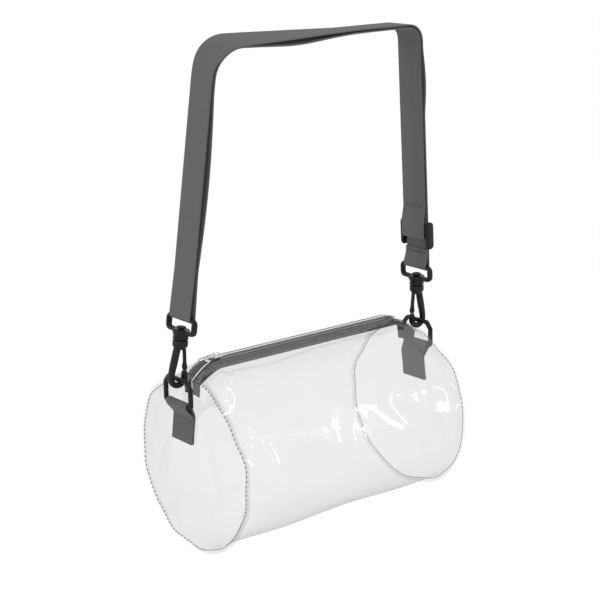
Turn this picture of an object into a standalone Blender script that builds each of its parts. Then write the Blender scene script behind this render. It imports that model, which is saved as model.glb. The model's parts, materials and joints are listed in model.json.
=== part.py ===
"""Clear barrel bag hanging by its doubled webbing strap: metres, +Z up.

The origin is the middle of the strap's carrying face, the underside of its top run.
X runs along the bag's axis, and Y is across the strap's width.
"""

import math

import bmesh
import bpy
from mathutils import Matrix, Vector

MM = 0.001

# Bag body
BAG_LENGTH = 254 * MM  # between the two end panels' seams
BAG_RADIUS = 76 * MM
FILM = 0.5 * MM  # clear film
DOME = 9 * MM  # how far an end panel bulges outwards
SEAM_FLANGE = 5 * MM  # seam allowance that stands out round each end
RIDGE_RISE = 15 * MM  # the closed zip stands this far above the round body
RIDGE_RAMP = 26 * MM  # length over which the ridge falls to an end seam
RIDGE_ANGLE = math.radians(42)  # half the angle that the ridge takes of the body
GAP = 0.3 * MM  # clearance between pieces that touch
SINK = 0.5 * MM  # how deep one block of a moulded piece runs into the next
TAPE_GAP = 0.8 * MM  # between the film and a zip tape, which follow each other's curve loosely

# Zip
SLOT_WIDTH = 13 * MM  # opening in the film over the zip
TAPE_REACH = 15 * MM  # from the zip's centre to a tape's outer edge
TAPE = 0.5 * MM
TAPE_TAIL = 12 * MM  # each tape end, turned down inside its end panel
COIL_WIDTH = 1.7 * MM
COIL_HEIGHT = 1.6 * MM
COIL_GAP = 1.5 * MM  # between the two coils, where the slider's post runs
COIL_PAST = 5 * MM  # how far the coils run down each ramp
SLIDER_LENGTH = 11 * MM
SLIDER_WIDTH = 8.5 * MM
SLIDER_PLATE = 1.1 * MM
SLIDER_PAST = 2.5 * MM  # how far the closed slider stands out over the ramp
SLIDER_POST_INSET = 3 * MM  # the post stands this far inside the plates' ends
BRIDGE = 1 * MM  # thickness of the band that holds the pull
BRIDGE_WIDTH = 2.4 * MM
BRIDGE_AT = (-2.4 * MM, -1.9 * MM, 3.6 * MM, 5.2 * MM)  # its feet and corners, from the pull's axis
STOP_LENGTH = 2.4 * MM
PULL_LENGTH = 17 * MM
PULL_WIDTH = 6.4 * MM
PULL_WIRE = 1.6 * MM
PULL_DROOP = math.radians(5)  # below level, at rest
PULL_LIFT = 0.5 * MM  # extra room under the pull's wire at its bridge
PULL_OFFSET = 2.5 * MM  # the pull's axis from the slider's middle, towards the end

# Webbing
WEB_WIDTH = 30 * MM
WEB = 1.4 * MM
TAB_BOTTOM = 24 * MM  # above the bag's axis
TAB_BEND = 49 * MM  # where a tab leaves its end panel
TOP_RUN = 364 * MM  # the strap's upper layer above the bag's axis
TOP_LAYER_GAP = 5 * MM  # between the middles of the two layers along the top
LEG_LAYER_GAP = 3.2 * MM  # the same along a leg
LEFT_LEG_SLOPE = 0.148  # sideways lean of each leg for each metre up
RIGHT_LEG_SLOPE = 0.0465
LEFT_CORNER = 33 * MM
RIGHT_CORNER = 15 * MM
TAIL_LENGTH = 15 * MM  # of the end sewn back above the right eye

# Rings, hooks and tri-glide
RING_OFFSET = 13 * MM  # outside the end seam
RING_BAR = 4.4 * MM
RING_CORNER = 2.4 * MM
RING_WIDTH = WEB_WIDTH + 7 * MM  # between the middles of the side bars
RING_TOP_WIDTH = WEB_WIDTH - 3 * MM
RING_LOW = 58.5 * MM  # lower bar above the bag's axis
RING_SHOULDER = 6 * MM  # height of the slanted part at each upper corner
HOOK_WIRE = 5.6 * MM
BOWL_RADIUS = 7.0 * MM
BOWL_Z = 75.1 * MM  # the wire at the bowl's lowest point, above the bag's axis
HEAD_LOW = 34 * MM  # from here up, heights are along a hook from its bowl's wire
HEAD_HEIGHT = 6.6 * MM
HEAD_RADIUS = 6.8 * MM
SPINE_TOP = 2.2 * MM  # the spine's offset from the hook's axis under the head
SPINE_GROWTH = 1.15  # the spine is this much wider than the bowl's wire
NOSE = 5.6 * MM  # the nose's tip above the bowl's centre
BOSS_HEIGHT = 5 * MM
BOSS_RADIUS = 6.9 * MM  # at its lower end
BOSS_TOP_RADIUS = 7.8 * MM
SHOULDER_REACH = 12 * MM  # half the width of the plate that widens from the boss to the eye
STEM_RADIUS = 2.2 * MM
BUTTON_RADIUS = 4.2 * MM
BUTTON_HEIGHT = 2.0 * MM
EYE_BAR = 4.0 * MM
EYE_OPEN_WIDTH = WEB_WIDTH + 2.4 * MM
EYE_CORNER = 3 * MM
EYE_OPEN_HEIGHT = 7.8 * MM
EYE_SIDE = 4.8 * MM
EYE_DEEPER = 0.35  # the eye's sides and lower bar are this much deeper than its upper bar
GATE = 3.2 * MM
LEFT_LEAN = math.radians(7.5)  # each hook hangs in line with its leg
RIGHT_LEAN = math.radians(1.5)
GLIDE_HEIGHT = 26 * MM
GLIDE_SIDE = 3 * MM
GLIDE_BAR = 4 * MM  # height of a bar
GLIDE_DEPTH = 2.4 * MM  # thickness of a bar
GLIDE_ROUND = 3.4 * MM  # radius of a side's corners
SEWN_LOOP = 32 * MM  # the loop round the tri-glide's middle bar
THREAD = 0.6 * MM

HALF = BAG_LENGTH / 2
DROP = TOP_RUN - TOP_LAYER_GAP - WEB / 2  # the origin above the bag's axis
RING_X = HALF + RING_OFFSET
WRAP = EYE_BAR / 2 + GAP + WEB / 2  # radius of webbing round an eye's bar
RING_TOP = BOWL_Z + HOOK_WIRE / 2 + 2 * GAP + RING_BAR / 2
EYE_LOW = HEAD_LOW + HEAD_HEIGHT + GAP + BOSS_HEIGHT  # underside of the eye's lower bar
EYE_TOP_BAR = EYE_LOW + EYE_BAR + EYE_OPEN_HEIGHT + EYE_BAR / 2
TAPE_TOP = BAG_RADIUS + RIDGE_RISE - FILM - TAPE_GAP  # the level tapes' upper face above the bag's axis
CLOSED_END = HALF - RIDGE_RAMP  # the ridge is level between plus and minus this
SLIDER_X = -CLOSED_END + SLIDER_LENGTH / 2 - SLIDER_PAST
PULL_X = SLIDER_X - PULL_OFFSET

AXIS_X = Vector((1, 0, 0))
AXIS_Y = Vector((0, 1, 0))
AXIS_Z = Vector((0, 0, 1))

COLORS = {
    "film": ((0.80, 0.84, 0.86), 0.12, 0.0),
    "webbing": ((0.12, 0.12, 0.125), 0.85, 0.0),
    "zip_tape": ((0.10, 0.10, 0.105), 0.9, 0.0),
    "coil": ((0.16, 0.16, 0.17), 0.5, 0.0),
    "plastic": ((0.015, 0.015, 0.017), 0.35, 0.0),
    "slider_metal": ((0.62, 0.62, 0.62), 0.3, 1.0),
    "thread": ((0.09, 0.09, 0.095), 0.8, 0.0),
}


def material(piece, finish):
    color, roughness, metallic = COLORS[finish]
    made = bpy.data.materials.new(piece + "_material")
    made.use_nodes = True
    shader = made.node_tree.nodes["Principled BSDF"]
    shader.inputs["Base Color"].default_value = (*color, 1)
    shader.inputs["Roughness"].default_value = roughness
    shader.inputs["Metallic"].default_value = metallic
    return made


def add_object(name, mesh, finish, origin=(0, 0, 0)):
    """Points are given from the bag's axis; the object's origin goes to the point given."""
    pivot = Vector(origin)
    mesh.transform(Matrix.Translation(-pivot))
    piece = bpy.data.objects.new(name, mesh)
    piece.location = pivot - Vector((0, 0, DROP))
    mesh.materials.append(material(name, finish))
    bpy.context.collection.objects.link(piece)
    mesh.shade_smooth()
    mesh.set_sharp_from_angle(angle=math.radians(35))
    return piece


def mesh_from(points, faces, name):
    mesh = bpy.data.meshes.new(name)
    mesh.from_pydata([tuple(p) for p in points], [], faces)
    work = bmesh.new()
    work.from_mesh(mesh)
    bmesh.ops.recalc_face_normals(work, faces=work.faces)
    work.to_mesh(mesh)
    work.free()
    return mesh


def swept(name, path, section, normal, closed=False, scales=None):
    """A section swept along a path that lies in one plane with the given normal.

    Section points are (across the path in its plane, along the normal).
    """
    count = len(path)
    points = []
    for i, here in enumerate(path):
        before = path[i - 1] if closed or i else None
        after = path[(i + 1) % count] if closed or i < count - 1 else None
        come = (here - before).normalized() if before is not None else None
        go = (after - here).normalized() if after is not None else None
        come = come or go
        go = go or come
        along = (come + go).normalized()
        side = normal.cross(along)
        miter = 1 / max(0.5, along.dot(go))
        grow = scales[i] if scales else (1, 1)
        points += [here + side * s * miter * grow[0] + normal * q * grow[1] for s, q in section]
    size = len(section)
    faces = []
    for i in range(count if closed else count - 1):
        a, b = i * size, (i + 1) % count * size
        faces += [(a + k, a + (k + 1) % size, b + (k + 1) % size, b + k) for k in range(size)]
    if not closed:
        faces += [tuple(range(size)), tuple(range((count - 1) * size, count * size))]
    return mesh_from(points, faces, name)


def oval(width, height, sides=8):
    """A rounded section of this many sides, flat side to flat side."""
    turn = math.pi / sides
    reach = math.cos(turn)
    return [
        (
            width / 2 / reach * math.cos(turn * (2 * k + 1)),
            height / 2 / reach * math.sin(turn * (2 * k + 1)),
        )
        for k in range(sides)
    ]


def flat(thick, width):
    a, b = thick / 2, width / 2
    return [(-a, -b), (a, -b), (a, b), (-a, b)]


def arc(center, radius, start, end, steps):
    """Points (x, z) round a centre, angles in degrees from +X towards +Z."""
    turn = [math.radians(start + (end - start) * k / steps) for k in range(steps + 1)]
    return [(center[0] + radius * math.cos(t), center[1] + radius * math.sin(t)) for t in turn]


def xz(points):
    return [Vector((x, 0, z)) for x, z in points]


def rounded(corners, radius, steps=4):
    """A closed outline of (a, b) points with its corners turned into arcs."""
    out = []
    count = len(corners)
    for i, here in enumerate(corners):
        here = Vector(here)
        come = (here - Vector(corners[i - 1])).normalized()
        go = (Vector(corners[(i + 1) % count]) - here).normalized()
        half = math.acos(max(-1, min(1, come.dot(go)))) / 2
        cut = radius * math.tan(half)
        start, end = here - come * cut, here + go * cut
        center = start + Vector((-come.y, come.x)) * radius
        for k in range(steps + 1):
            share = k / steps
            point = start.lerp(end, share)
            out.append(center + (point - center).normalized() * radius)
    return out


def boxed(name, low, high, finish, origin=(0, 0, 0)):
    (x0, y0, z0), (x1, y1, z1) = low, high
    corners = [(x, y, z) for x in (x0, x1) for y in (y0, y1) for z in (z0, z1)]
    faces = [(0, 1, 3, 2), (4, 6, 7, 5), (0, 4, 5, 1), (2, 3, 7, 6), (0, 2, 6, 4), (1, 5, 7, 3)]
    return add_object(name, mesh_from(corners, faces, name), finish, origin)


def drum(name, radius, low, high, sides=24, top_radius=None):
    """An upright cylinder or cone between two heights, in black plastic."""
    turn = [2 * math.pi * k / sides for k in range(sides)]
    ends = ((radius, low), (top_radius or radius, high))
    points = [(r * math.cos(t), r * math.sin(t), z) for r, z in ends for t in turn]
    faces = [(k, (k + 1) % sides, sides + (k + 1) % sides, sides + k) for k in range(sides)]
    faces += [tuple(range(sides)), tuple(range(sides, 2 * sides))]
    return add_object(name, mesh_from(points, faces, name), "plastic")


def combine(piece, helper, operation):
    """A Boolean with a helper that is left out of the model."""
    step = piece.modifiers.new(operation.title() + "_" + helper.name, "BOOLEAN")
    step.operation = operation
    step.object = helper
    step.solver = "EXACT"
    helper.hide_render = True
    helper.display_type = "WIRE"


def thicken(piece, thickness):
    """Gives a sheet its thickness inwards, away from the side its faces look to."""
    step = piece.modifiers.new("Thickness", "SOLIDIFY")
    step.thickness = thickness
    step.offset = -1


# ---------------------------------------------------------------- bag body


def ridge_share(x):
    """1 along the level ridge, falling smoothly to 0 at an end seam."""
    past = max(0.0, abs(x) - CLOSED_END) / RIDGE_RAMP
    return math.cos(min(1.0, past) * math.pi / 2)


def body_radius(x, angle):
    """Distance from the bag's axis, with the angle measured from straight up."""
    bump = math.cos(min(1.0, abs(angle) / RIDGE_ANGLE) * math.pi / 2) ** 2
    return BAG_RADIUS + RIDGE_RISE * ridge_share(x) * bump


def body_point(x, across, depth=0.0):
    """A point on the body at a distance across from the zip's centre, sunk by a depth."""
    angle = across / (BAG_RADIUS + RIDGE_RISE)
    radius = body_radius(x, angle) - depth
    return Vector((x, radius * math.sin(angle), radius * math.cos(angle)))


def stations(reach, ramp_steps=6, level_steps=8):
    """Places along the bag, closer together on the ramps."""
    ramp = [CLOSED_END + (reach - CLOSED_END) * k / ramp_steps for k in range(1, ramp_steps + 1)]
    level = [-CLOSED_END + 2 * CLOSED_END * k / level_steps for k in range(level_steps + 1)]
    return [-x for x in reversed(ramp)] + level + ramp


def sheet_of(rows, name):
    """Faces between rows of points."""
    width = len(rows[0])
    points = [p for row in rows for p in row]
    faces = [
        (r * width + c, r * width + c + 1, (r + 1) * width + c + 1, (r + 1) * width + c)
        for r in range(len(rows) - 1)
        for c in range(width - 1)
    ]
    mesh = bpy.data.meshes.new(name)
    mesh.from_pydata([tuple(p) for p in points], [], faces)
    return mesh


def add_body_panel():
    """The film wrapped round from one edge of the zip slot to the other."""
    slot = SLOT_WIDTH / 2 / (BAG_RADIUS + RIDGE_RISE)
    steps = 52
    angles = [slot + (2 * math.pi - 2 * slot) * k / steps for k in range(steps + 1)]
    end = HALF - 2 * FILM - GAP
    profile = [(-end, SEAM_FLANGE)] + [(x, 0.0) for x in stations(end)] + [(end, SEAM_FLANGE)]
    rows = []
    for x, lift in profile:
        row = []
        for angle in angles:
            off_top = min(angle, 2 * math.pi - angle)
            radius = body_radius(x, off_top) + lift
            row.append((x, radius * math.sin(angle), radius * math.cos(angle)))
        rows.append(row)
    panel = add_object("body_panel", sheet_of(rows, "body_panel"), "film")
    flip_to_face_out(panel, Vector((0, 0, -DROP)))
    thicken(panel, FILM)


def flip_to_face_out(piece, center):
    """Turns a sheet's faces so that most look away from a point."""
    mesh = piece.data
    inner = center - piece.location
    total = sum(p.normal.dot(p.center - inner) * p.area for p in mesh.polygons)
    if total < 0:
        mesh.flip_normals()


def dome_x(radius):
    """Outer face of an end panel at a distance from the bag's axis."""
    return HALF + DOME * max(0.0, 1 - (radius / BAG_RADIUS) ** 2)


def add_end_panel(side, word):
    radii = [share * BAG_RADIUS for share in (0.2, 0.4, 0.6, 0.8, 0.92, 1.0)]
    radii.append(BAG_RADIUS + SEAM_FLANGE)
    sides = 52
    turn = [2 * math.pi * k / sides for k in range(sides)]
    rows = [[(side * dome_x(r), r * math.sin(t), r * math.cos(t)) for t in turn] for r in radii]
    points = [(side * dome_x(0), 0, 0)] + [p for row in rows for p in row]
    faces = [(0, 1 + k, 1 + (k + 1) % sides) for k in range(sides)]
    for r in range(len(rows) - 1):
        a, b = 1 + r * sides, 1 + (r + 1) * sides
        faces += [(a + k, b + k, b + (k + 1) % sides, a + (k + 1) % sides) for k in range(sides)]
    mesh = mesh_from(points, faces, "end_panel_" + word)
    panel = add_object("end_panel_" + word, mesh, "film")
    flip_to_face_out(panel, Vector((0, 0, -DROP)))
    thicken(panel, FILM)


def add_seam_thread(side, word):
    """The row of stitches round an end seam, in the middle of its flange."""
    radius = BAG_RADIUS + 1.2 * MM
    x = side * (HALF + GAP + THREAD / 2)
    steps = 48
    path = [
        Vector((x, radius * math.sin(2 * math.pi * k / steps), radius * math.cos(2 * math.pi * k / steps)))
        for k in range(steps)
    ]
    mesh = swept("seam_thread_" + word, path, flat(THREAD, THREAD), AXIS_X, closed=True)
    add_object("seam_thread_" + word, mesh, "thread")


# --------------------------------------------------------------------- zip


def add_zip(side, word):
    """One tape with its coil and its row of stitches; side is +1 at the back."""
    below_film = FILM + TAPE_GAP
    inner = COIL_GAP / 2 + 0.2 * MM
    reach = HALF - 2 * FILM - 2 * GAP
    across = [inner + (TAPE_REACH - inner) * k / 4 for k in range(5)]
    places = [(x, below_film) for x in stations(reach)]
    places = [(-reach, below_film + TAPE_TAIL), *places, (reach, below_film + TAPE_TAIL)]
    rows = [[body_point(x, side * s, depth) for s in across] for x, depth in places]
    tape = add_object("zipper_tape_" + word, sheet_of(rows, "tape"), "zip_tape")
    flip_to_face_out(tape, Vector((0, 0, -DROP)))
    thicken(tape, TAPE)
    y = side * (COIL_GAP / 2 + COIL_WIDTH / 2)
    middle = below_film - GAP - COIL_HEIGHT / 2
    path = [Vector((x, y, body_radius(x, 0) - middle)) for x in stations(CLOSED_END + COIL_PAST, 3)]
    mesh = swept("zipper_coil_" + word, path, oval(COIL_HEIGHT, COIL_WIDTH, 6), AXIS_Y)
    add_object("zipper_coil_" + word, mesh, "coil")
    line = SLOT_WIDTH / 2 + 2.5 * MM
    spots = [body_point(x, side * line, -GAP - THREAD / 2) for x in stations(HALF - 3 * MM)]
    mesh = swept("zipper_stitch_" + word, spots, flat(THREAD, THREAD), AXIS_Y)
    add_object("zipper_stitch_" + word, mesh, "thread")


def coil_top():
    """Height of the coils' tops on the level ridge, above the bag's axis."""
    return TAPE_TOP + GAP + COIL_HEIGHT


def add_zip_stop(side, word):
    """The metal stop past each end of the coils."""
    x = side * (CLOSED_END + COIL_PAST + GAP + STOP_LENGTH / 2)
    low = body_radius(x, 0) - FILM - TAPE_GAP + 2 * GAP
    reach = COIL_GAP / 2 + COIL_WIDTH + 0.6 * MM
    boxed(
        "zipper_stop_" + word,
        (x - STOP_LENGTH / 2, -reach, low),
        (x + STOP_LENGTH / 2, reach, low + COIL_HEIGHT),
        "slider_metal",
    )


def add_slider():
    """Two plates joined by a post that runs between the coils, and a bridge for the pull."""
    top = coil_top() + GAP
    low = TAPE_TOP - TAPE - 2 * GAP
    x0, x1 = SLIDER_X - SLIDER_LENGTH / 2, SLIDER_X + SLIDER_LENGTH / 2
    half = SLIDER_WIDTH / 2
    origin = (SLIDER_X, 0, top)
    slider = boxed("zipper_slider", (x0, -half, top), (x1, half, top + SLIDER_PLATE), "slider_metal", origin)
    shape = slider.modifiers.new("Edges", "BEVEL")
    shape.width = 0.35 * MM
    shape.segments = 1
    post = COIL_GAP / 2 - GAP
    under = boxed("slider_plate", (x0, -half, low - SLIDER_PLATE), (x1, half, low), "slider_metal")
    combine(slider, under, "UNION")
    post_low = (x0 + SLIDER_POST_INSET, -post, low - SINK)
    post_high = (x1 - SLIDER_POST_INSET, post, top + SINK)
    middle = boxed("slider_post", post_low, post_high, "slider_metal")
    combine(slider, middle, "UNION")
    base = top + SLIDER_PLATE
    rise = PULL_WIRE + PULL_LIFT + 2 * GAP
    foot, crown = base - SINK, base + rise + BRIDGE / 2
    bridge = [(PULL_X + BRIDGE_AT[0], foot), (PULL_X + BRIDGE_AT[1], crown)]
    bridge += [(PULL_X + BRIDGE_AT[2], crown), (PULL_X + BRIDGE_AT[3], foot)]
    band = swept("slider_bridge", xz(bridge), flat(BRIDGE, BRIDGE_WIDTH), AXIS_Y)
    arch = add_object("slider_bridge", band, "slider_metal")
    combine(slider, arch, "UNION")
    return base + GAP + PULL_LIFT + PULL_WIRE / 2


def add_pull(height):
    """A wire loop through the bridge; its axis runs across the zip."""
    half = PULL_WIDTH / 2 - PULL_WIRE / 2
    outline = rounded(
        [(0, -half), (0, half), (-PULL_LENGTH, half), (-PULL_LENGTH, -half)], 1.6 * MM
    )
    tilt = Matrix.Rotation(-PULL_DROOP, 3, "Y")
    center = Vector((PULL_X, 0, height))
    path = [center + tilt @ Vector((p.x, p.y, 0)) for p in outline]
    mesh = swept("zipper_pull", path, oval(PULL_WIRE, PULL_WIRE, 8), tilt @ Vector((0, 0, 1)), closed=True)
    add_object("zipper_pull", mesh, "slider_metal", center)


# ------------------------------------------------------- tabs and D-rings


def add_tab(side, word):
    """A length of webbing folded round the ring's lower bar and sewn to the end panel."""
    face = GAP + WEB / 2
    inner_low = (dome_x(TAB_BOTTOM) + face, TAB_BOTTOM)
    inner_bend = (dome_x(TAB_BEND) + face, TAB_BEND)
    second = WEB + GAP
    center = (RING_X, RING_LOW)
    wrap = RING_BAR / 2 + GAP + WEB / 2
    loop = arc(center, wrap, 150, -40, 10)
    path = [inner_low, inner_bend, *loop, (inner_bend[0] + second, inner_bend[1] - 1.5 * MM)]
    path += [(inner_low[0] + second, inner_low[1])]
    mesh = swept("tab_" + word, xz([(side * x, z) for x, z in path]), flat(WEB, WEB_WIDTH), AXIS_Y)
    add_object("tab_" + word, mesh, "webbing")
    add_tab_stitch(side, word, second)


def add_tab_stitch(side, word, second):
    """A box with a cross, sewn through both layers of a tab."""
    low, high = TAB_BOTTOM + 3 * MM, TAB_BEND - 5 * MM
    half = WEB_WIDTH / 2 - 3.5 * MM
    away = GAP + WEB + second + GAP + THREAD / 2
    slope = (dome_x(high) - dome_x(low)) / (high - low)

    def place(y, z):
        return Vector((side * (dome_x(low) + slope * (z - low) + away), y, z))

    normal = Vector((side, 0, -slope)).normalized()
    corners = [place(y, z) for y, z in ((-half, low), (half, low), (half, high), (-half, high))]
    name = "tab_stitch_" + word
    mesh = swept(name, corners, flat(THREAD, THREAD), normal, closed=True)
    stitch = add_object(name, mesh, "thread")
    for k, (a, b) in enumerate(((0, 2), (1, 3))):
        helper = name + "_cross_" + str(k)
        bar = swept(helper, [corners[a], corners[b]], flat(THREAD, THREAD * 0.8), normal)
        combine(stitch, add_object(helper, bar, "thread"), "UNION")


def add_ring(side, word):
    """A D-ring with a straight lower bar and a narrower top."""
    wide, narrow = RING_WIDTH / 2, RING_TOP_WIDTH / 2
    shoulder = RING_TOP - RING_SHOULDER
    half = [(wide, RING_LOW), (wide, shoulder), (narrow, RING_TOP)]
    outline = rounded(half + [(-y, z) for y, z in reversed(half)], RING_CORNER)
    x = side * RING_X
    path = [Vector((x, p.x, p.y)) for p in outline]
    mesh = swept("d_ring_" + word, path, oval(RING_BAR, RING_BAR, 8), AXIS_X, closed=True)
    add_object("d_ring_" + word, mesh, "plastic", (x, 0, RING_LOW))


# ------------------------------------------------------------ snap hooks


def hook_frame(side, lean):
    """From a hook's own frame (z up from the bowl's wire) to the bag's, with the bowl over its ring."""
    tilt = Matrix.Rotation(-side * lean, 4, "Y")
    foot = Vector((side * RING_X, 0, BOWL_Z + BOWL_RADIUS)) - tilt @ Vector((0, 0, BOWL_RADIUS))
    return Matrix.Translation(foot) @ tilt


def put(piece, place):
    """Moves a piece built in a hook's own frame to its place."""
    piece.data.transform(Matrix.Translation(piece.location + Vector((0, 0, DROP))))
    piece.data.transform(place)
    piece.location = (0, 0, -DROP)
    return piece


def add_origin(piece, point):
    """Sets a piece's origin at a point given from the bag's axis."""
    piece.data.transform(Matrix.Translation(-point))
    piece.location = point - Vector((0, 0, DROP))


def add_hook(side, word, place):
    wire = [(SPINE_TOP, HEAD_LOW + 2 * MM), (BOWL_RADIUS, BOWL_RADIUS + 2 * MM)]
    scales = [(SPINE_GROWTH, 1.0)] * len(wire)
    wire += arc((0, BOWL_RADIUS), BOWL_RADIUS, 0, -180, 10)
    wire += [(-BOWL_RADIUS + 0.6 * MM, BOWL_RADIUS + NOSE)]
    scales += [(1.0, 1.0)] * (len(wire) - len(scales))
    name = "hook_" + word
    path = xz([(side * x, z) for x, z in wire])
    mesh = swept(name, path, oval(HOOK_WIRE, HOOK_WIRE, 8), AXIS_Y, scales=scales)
    hook = put(add_object(name, mesh, "plastic"), place)
    high = HEAD_LOW + HEAD_HEIGHT
    stem_top = EYE_LOW + EYE_BAR + GAP
    parts = (
        drum("hook_head", HEAD_RADIUS, HEAD_LOW, high),
        drum("hook_stem", STEM_RADIUS, high - 2 * SINK, stem_top + SINK, 16),
        drum("hook_button", BUTTON_RADIUS, stem_top, stem_top + BUTTON_HEIGHT, 20),
    )
    for part in parts:
        combine(hook, put(part, place), "UNION")
    add_origin(hook, place @ Vector((0, 0, HEAD_LOW)))
    return hook


def add_gate(side, word, place):
    """The sprung tongue that closes a hook's mouth, hinged under the head."""
    root = (-BOWL_RADIUS + 2.6 * MM, HEAD_LOW - GAP - 0.2 * MM)
    tip = (-BOWL_RADIUS + 0.3 * MM, BOWL_RADIUS + NOSE + GAP + 0.6 * MM)
    nub = (tip[0] + 0.2 * MM, tip[1] + 3 * MM)
    middle = ((root[0] + tip[0]) / 2, (root[1] + tip[1]) / 2)
    path = xz([(side * x, z) for x, z in (root, middle, nub, tip)])
    scales = [(0.9, 1.2), (0.8, 1.1), (1.1, 1.3), (1.4, 1.35)]
    name = "gate_" + word
    mesh = swept(name, path, oval(GATE, GATE, 8), AXIS_Y, scales=scales)
    gate = put(add_object(name, mesh, "plastic"), place)
    add_origin(gate, place @ Vector((side * root[0], 0, root[1])))


def add_eye(side, word, place):
    """The rectangular eye that the webbing passes through, with the boss a hook turns in."""
    half = EYE_OPEN_WIDTH / 2 + EYE_SIDE / 2
    low = EYE_LOW + EYE_BAR / 2
    outline = rounded([(-half, low), (half, low), (half, EYE_TOP_BAR), (-half, EYE_TOP_BAR)], EYE_CORNER)
    path = [Vector((0, p.x, p.y)) for p in outline]
    scales = [(1.0, 1.0 + EYE_DEEPER * min(1.0, (EYE_TOP_BAR - p.z) / EYE_CORNER)) for p in path]
    name = "swivel_eye_" + word
    mesh = swept(name, path, oval(EYE_BAR, EYE_BAR, 8), AXIS_X, closed=True, scales=scales)
    eye = put(add_object(name, mesh, "plastic"), place)
    boss_low = HEAD_LOW + HEAD_HEIGHT + GAP
    top = EYE_LOW + EYE_BAR
    boss = drum(name + "_boss", BOSS_RADIUS, boss_low, top - 0.2 * MM, top_radius=BOSS_TOP_RADIUS)
    combine(eye, put(boss, place), "UNION")
    deep = Vector((EYE_BAR * (1 + EYE_DEEPER) / 2 - 0.2 * MM, 0, 0))
    half_plate = [(BOSS_RADIUS, boss_low + 1 * MM), (SHOULDER_REACH, top - 0.6 * MM)]
    plate = half_plate + [(-y, z) for y, z in reversed(half_plate)]
    shoulder = add_object(name + "_shoulder", swept("shoulder", [-deep, deep], plate, AXIS_Z), "plastic")
    combine(eye, put(shoulder, place), "UNION")
    bore = drum(name + "_bore", STEM_RADIUS + GAP, boss_low - 2 * MM, EYE_TOP_BAR - 3 * MM, 16)
    combine(eye, put(bore, place), "DIFFERENCE")
    add_origin(eye, place @ Vector((0, 0, EYE_TOP_BAR)))


# ------------------------------------------------------------------ strap


class Leg:
    """A straight leg of the strap, from its eye's upper bar to the top run."""

    def __init__(self, side, place, slope):
        bar = place @ Vector((0, 0, EYE_TOP_BAR))
        self.side = side
        self.bar = (bar.x, bar.z)
        self.slope = slope
        self.angle = math.degrees(math.atan(slope))

    def at(self, height, out=0.0):
        """A point at a height above the bag's axis, moved outwards from the leg's line."""
        x = self.bar[0] - self.side * self.slope * (height - self.bar[1]) + self.side * out
        return (x, height)


def corner_arc(leg, layer_z, out, radius, steps=7):
    """Points of a rounded corner between a leg and a level run, from the leg inwards."""
    turn = math.radians(90 - leg.angle)
    foot = leg.at(layer_z, out)
    center = (foot[0] - leg.side * radius * math.tan(turn / 2), layer_z - radius)
    start = leg.angle if leg.side > 0 else 180 - leg.angle
    return arc(center, radius, start, 90, steps)


def long_run(left, right, glide_low):
    """The strap's length from its tail, round the right eye, over the top and back as the inner layer."""
    tack = glide_low - 1 * MM
    apart = WEB + GAP
    path = [right.at(tack, WRAP - apart), right.at(tack - 6 * MM, WRAP - apart)]
    path += arc(right.bar, WRAP, 180 - right.angle, 360 + right.angle, 8)
    path += corner_arc(right, TOP_RUN, WRAP, RIGHT_CORNER)
    path += list(reversed(corner_arc(left, TOP_RUN, LEG_LAYER_GAP / 2, LEFT_CORNER)))
    path += [left.at(left.bar[1] + 40 * MM, LEG_LAYER_GAP / 2)]
    path += arc(left.bar, WRAP, 180 - left.angle, 360 + left.angle, 8)
    path += [left.at(left.bar[1] + 40 * MM, -LEG_LAYER_GAP / 2)]
    inner_top = TOP_RUN - TOP_LAYER_GAP
    path += corner_arc(left, inner_top, -LEG_LAYER_GAP / 2, LEFT_CORNER - LEG_LAYER_GAP)
    path += list(reversed(corner_arc(right, inner_top, WRAP - LEG_LAYER_GAP, RIGHT_CORNER - LEG_LAYER_GAP)))
    path += [right.at(inner_top - RIGHT_CORNER - 2 * MM, WRAP - LEG_LAYER_GAP)]
    return path


def add_strap(left, right):
    glide_low = right.bar[1] + WRAP + TAIL_LENGTH
    glide_mid = glide_low + GLIDE_HEIGHT / 2
    loop_top = glide_mid + SEWN_LOOP
    inner = WRAP - LEG_LAYER_GAP
    section = flat(WEB, WEB_WIDTH)
    path = long_run(left, right, glide_low)
    mesh = swept("strap_webbing", xz(path), section, AXIS_Y)
    add_object("strap_webbing", mesh, "webbing")
    top = path[-1][1] - GAP
    run = [right.at(top, inner), right.at(loop_top + GAP, inner)]
    mesh = swept("strap_adjusting_run", xz(run), section, AXIS_Y)
    add_object("strap_adjusting_run", mesh, "webbing")
    second = WRAP - WEB - GAP
    bar = second - WEB / 2 - GAP - GLIDE_DEPTH / 2
    wrap = GLIDE_DEPTH / 2 + GAP + WEB / 2
    center = right.at(glide_mid, bar)
    first = bar - wrap
    loop = [right.at(loop_top, inner), right.at(loop_top - 5 * MM, inner)]
    loop += [right.at(glide_mid + 12 * MM, first), right.at(glide_mid + 2 * MM, first)]
    loop += arc((center[0], glide_mid - GLIDE_BAR / 2 + 0.5 * MM), wrap, 180, 360, 8)
    loop += [right.at(glide_mid + 2 * MM, bar + wrap), right.at(glide_mid + 14 * MM, bar + wrap)]
    mesh = swept("strap_sewn_loop", xz(loop), section, AXIS_Y)
    add_object("strap_sewn_loop", mesh, "webbing")
    add_glide(right, glide_mid, bar)
    add_tack("strap_tack_loop", right, loop_top - 4 * MM, inner - WEB / 2 - GAP)
    add_tack("strap_tack_tail", right, glide_low - 4 * MM, WRAP - WEB - GAP - WEB / 2 - GAP)


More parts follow.
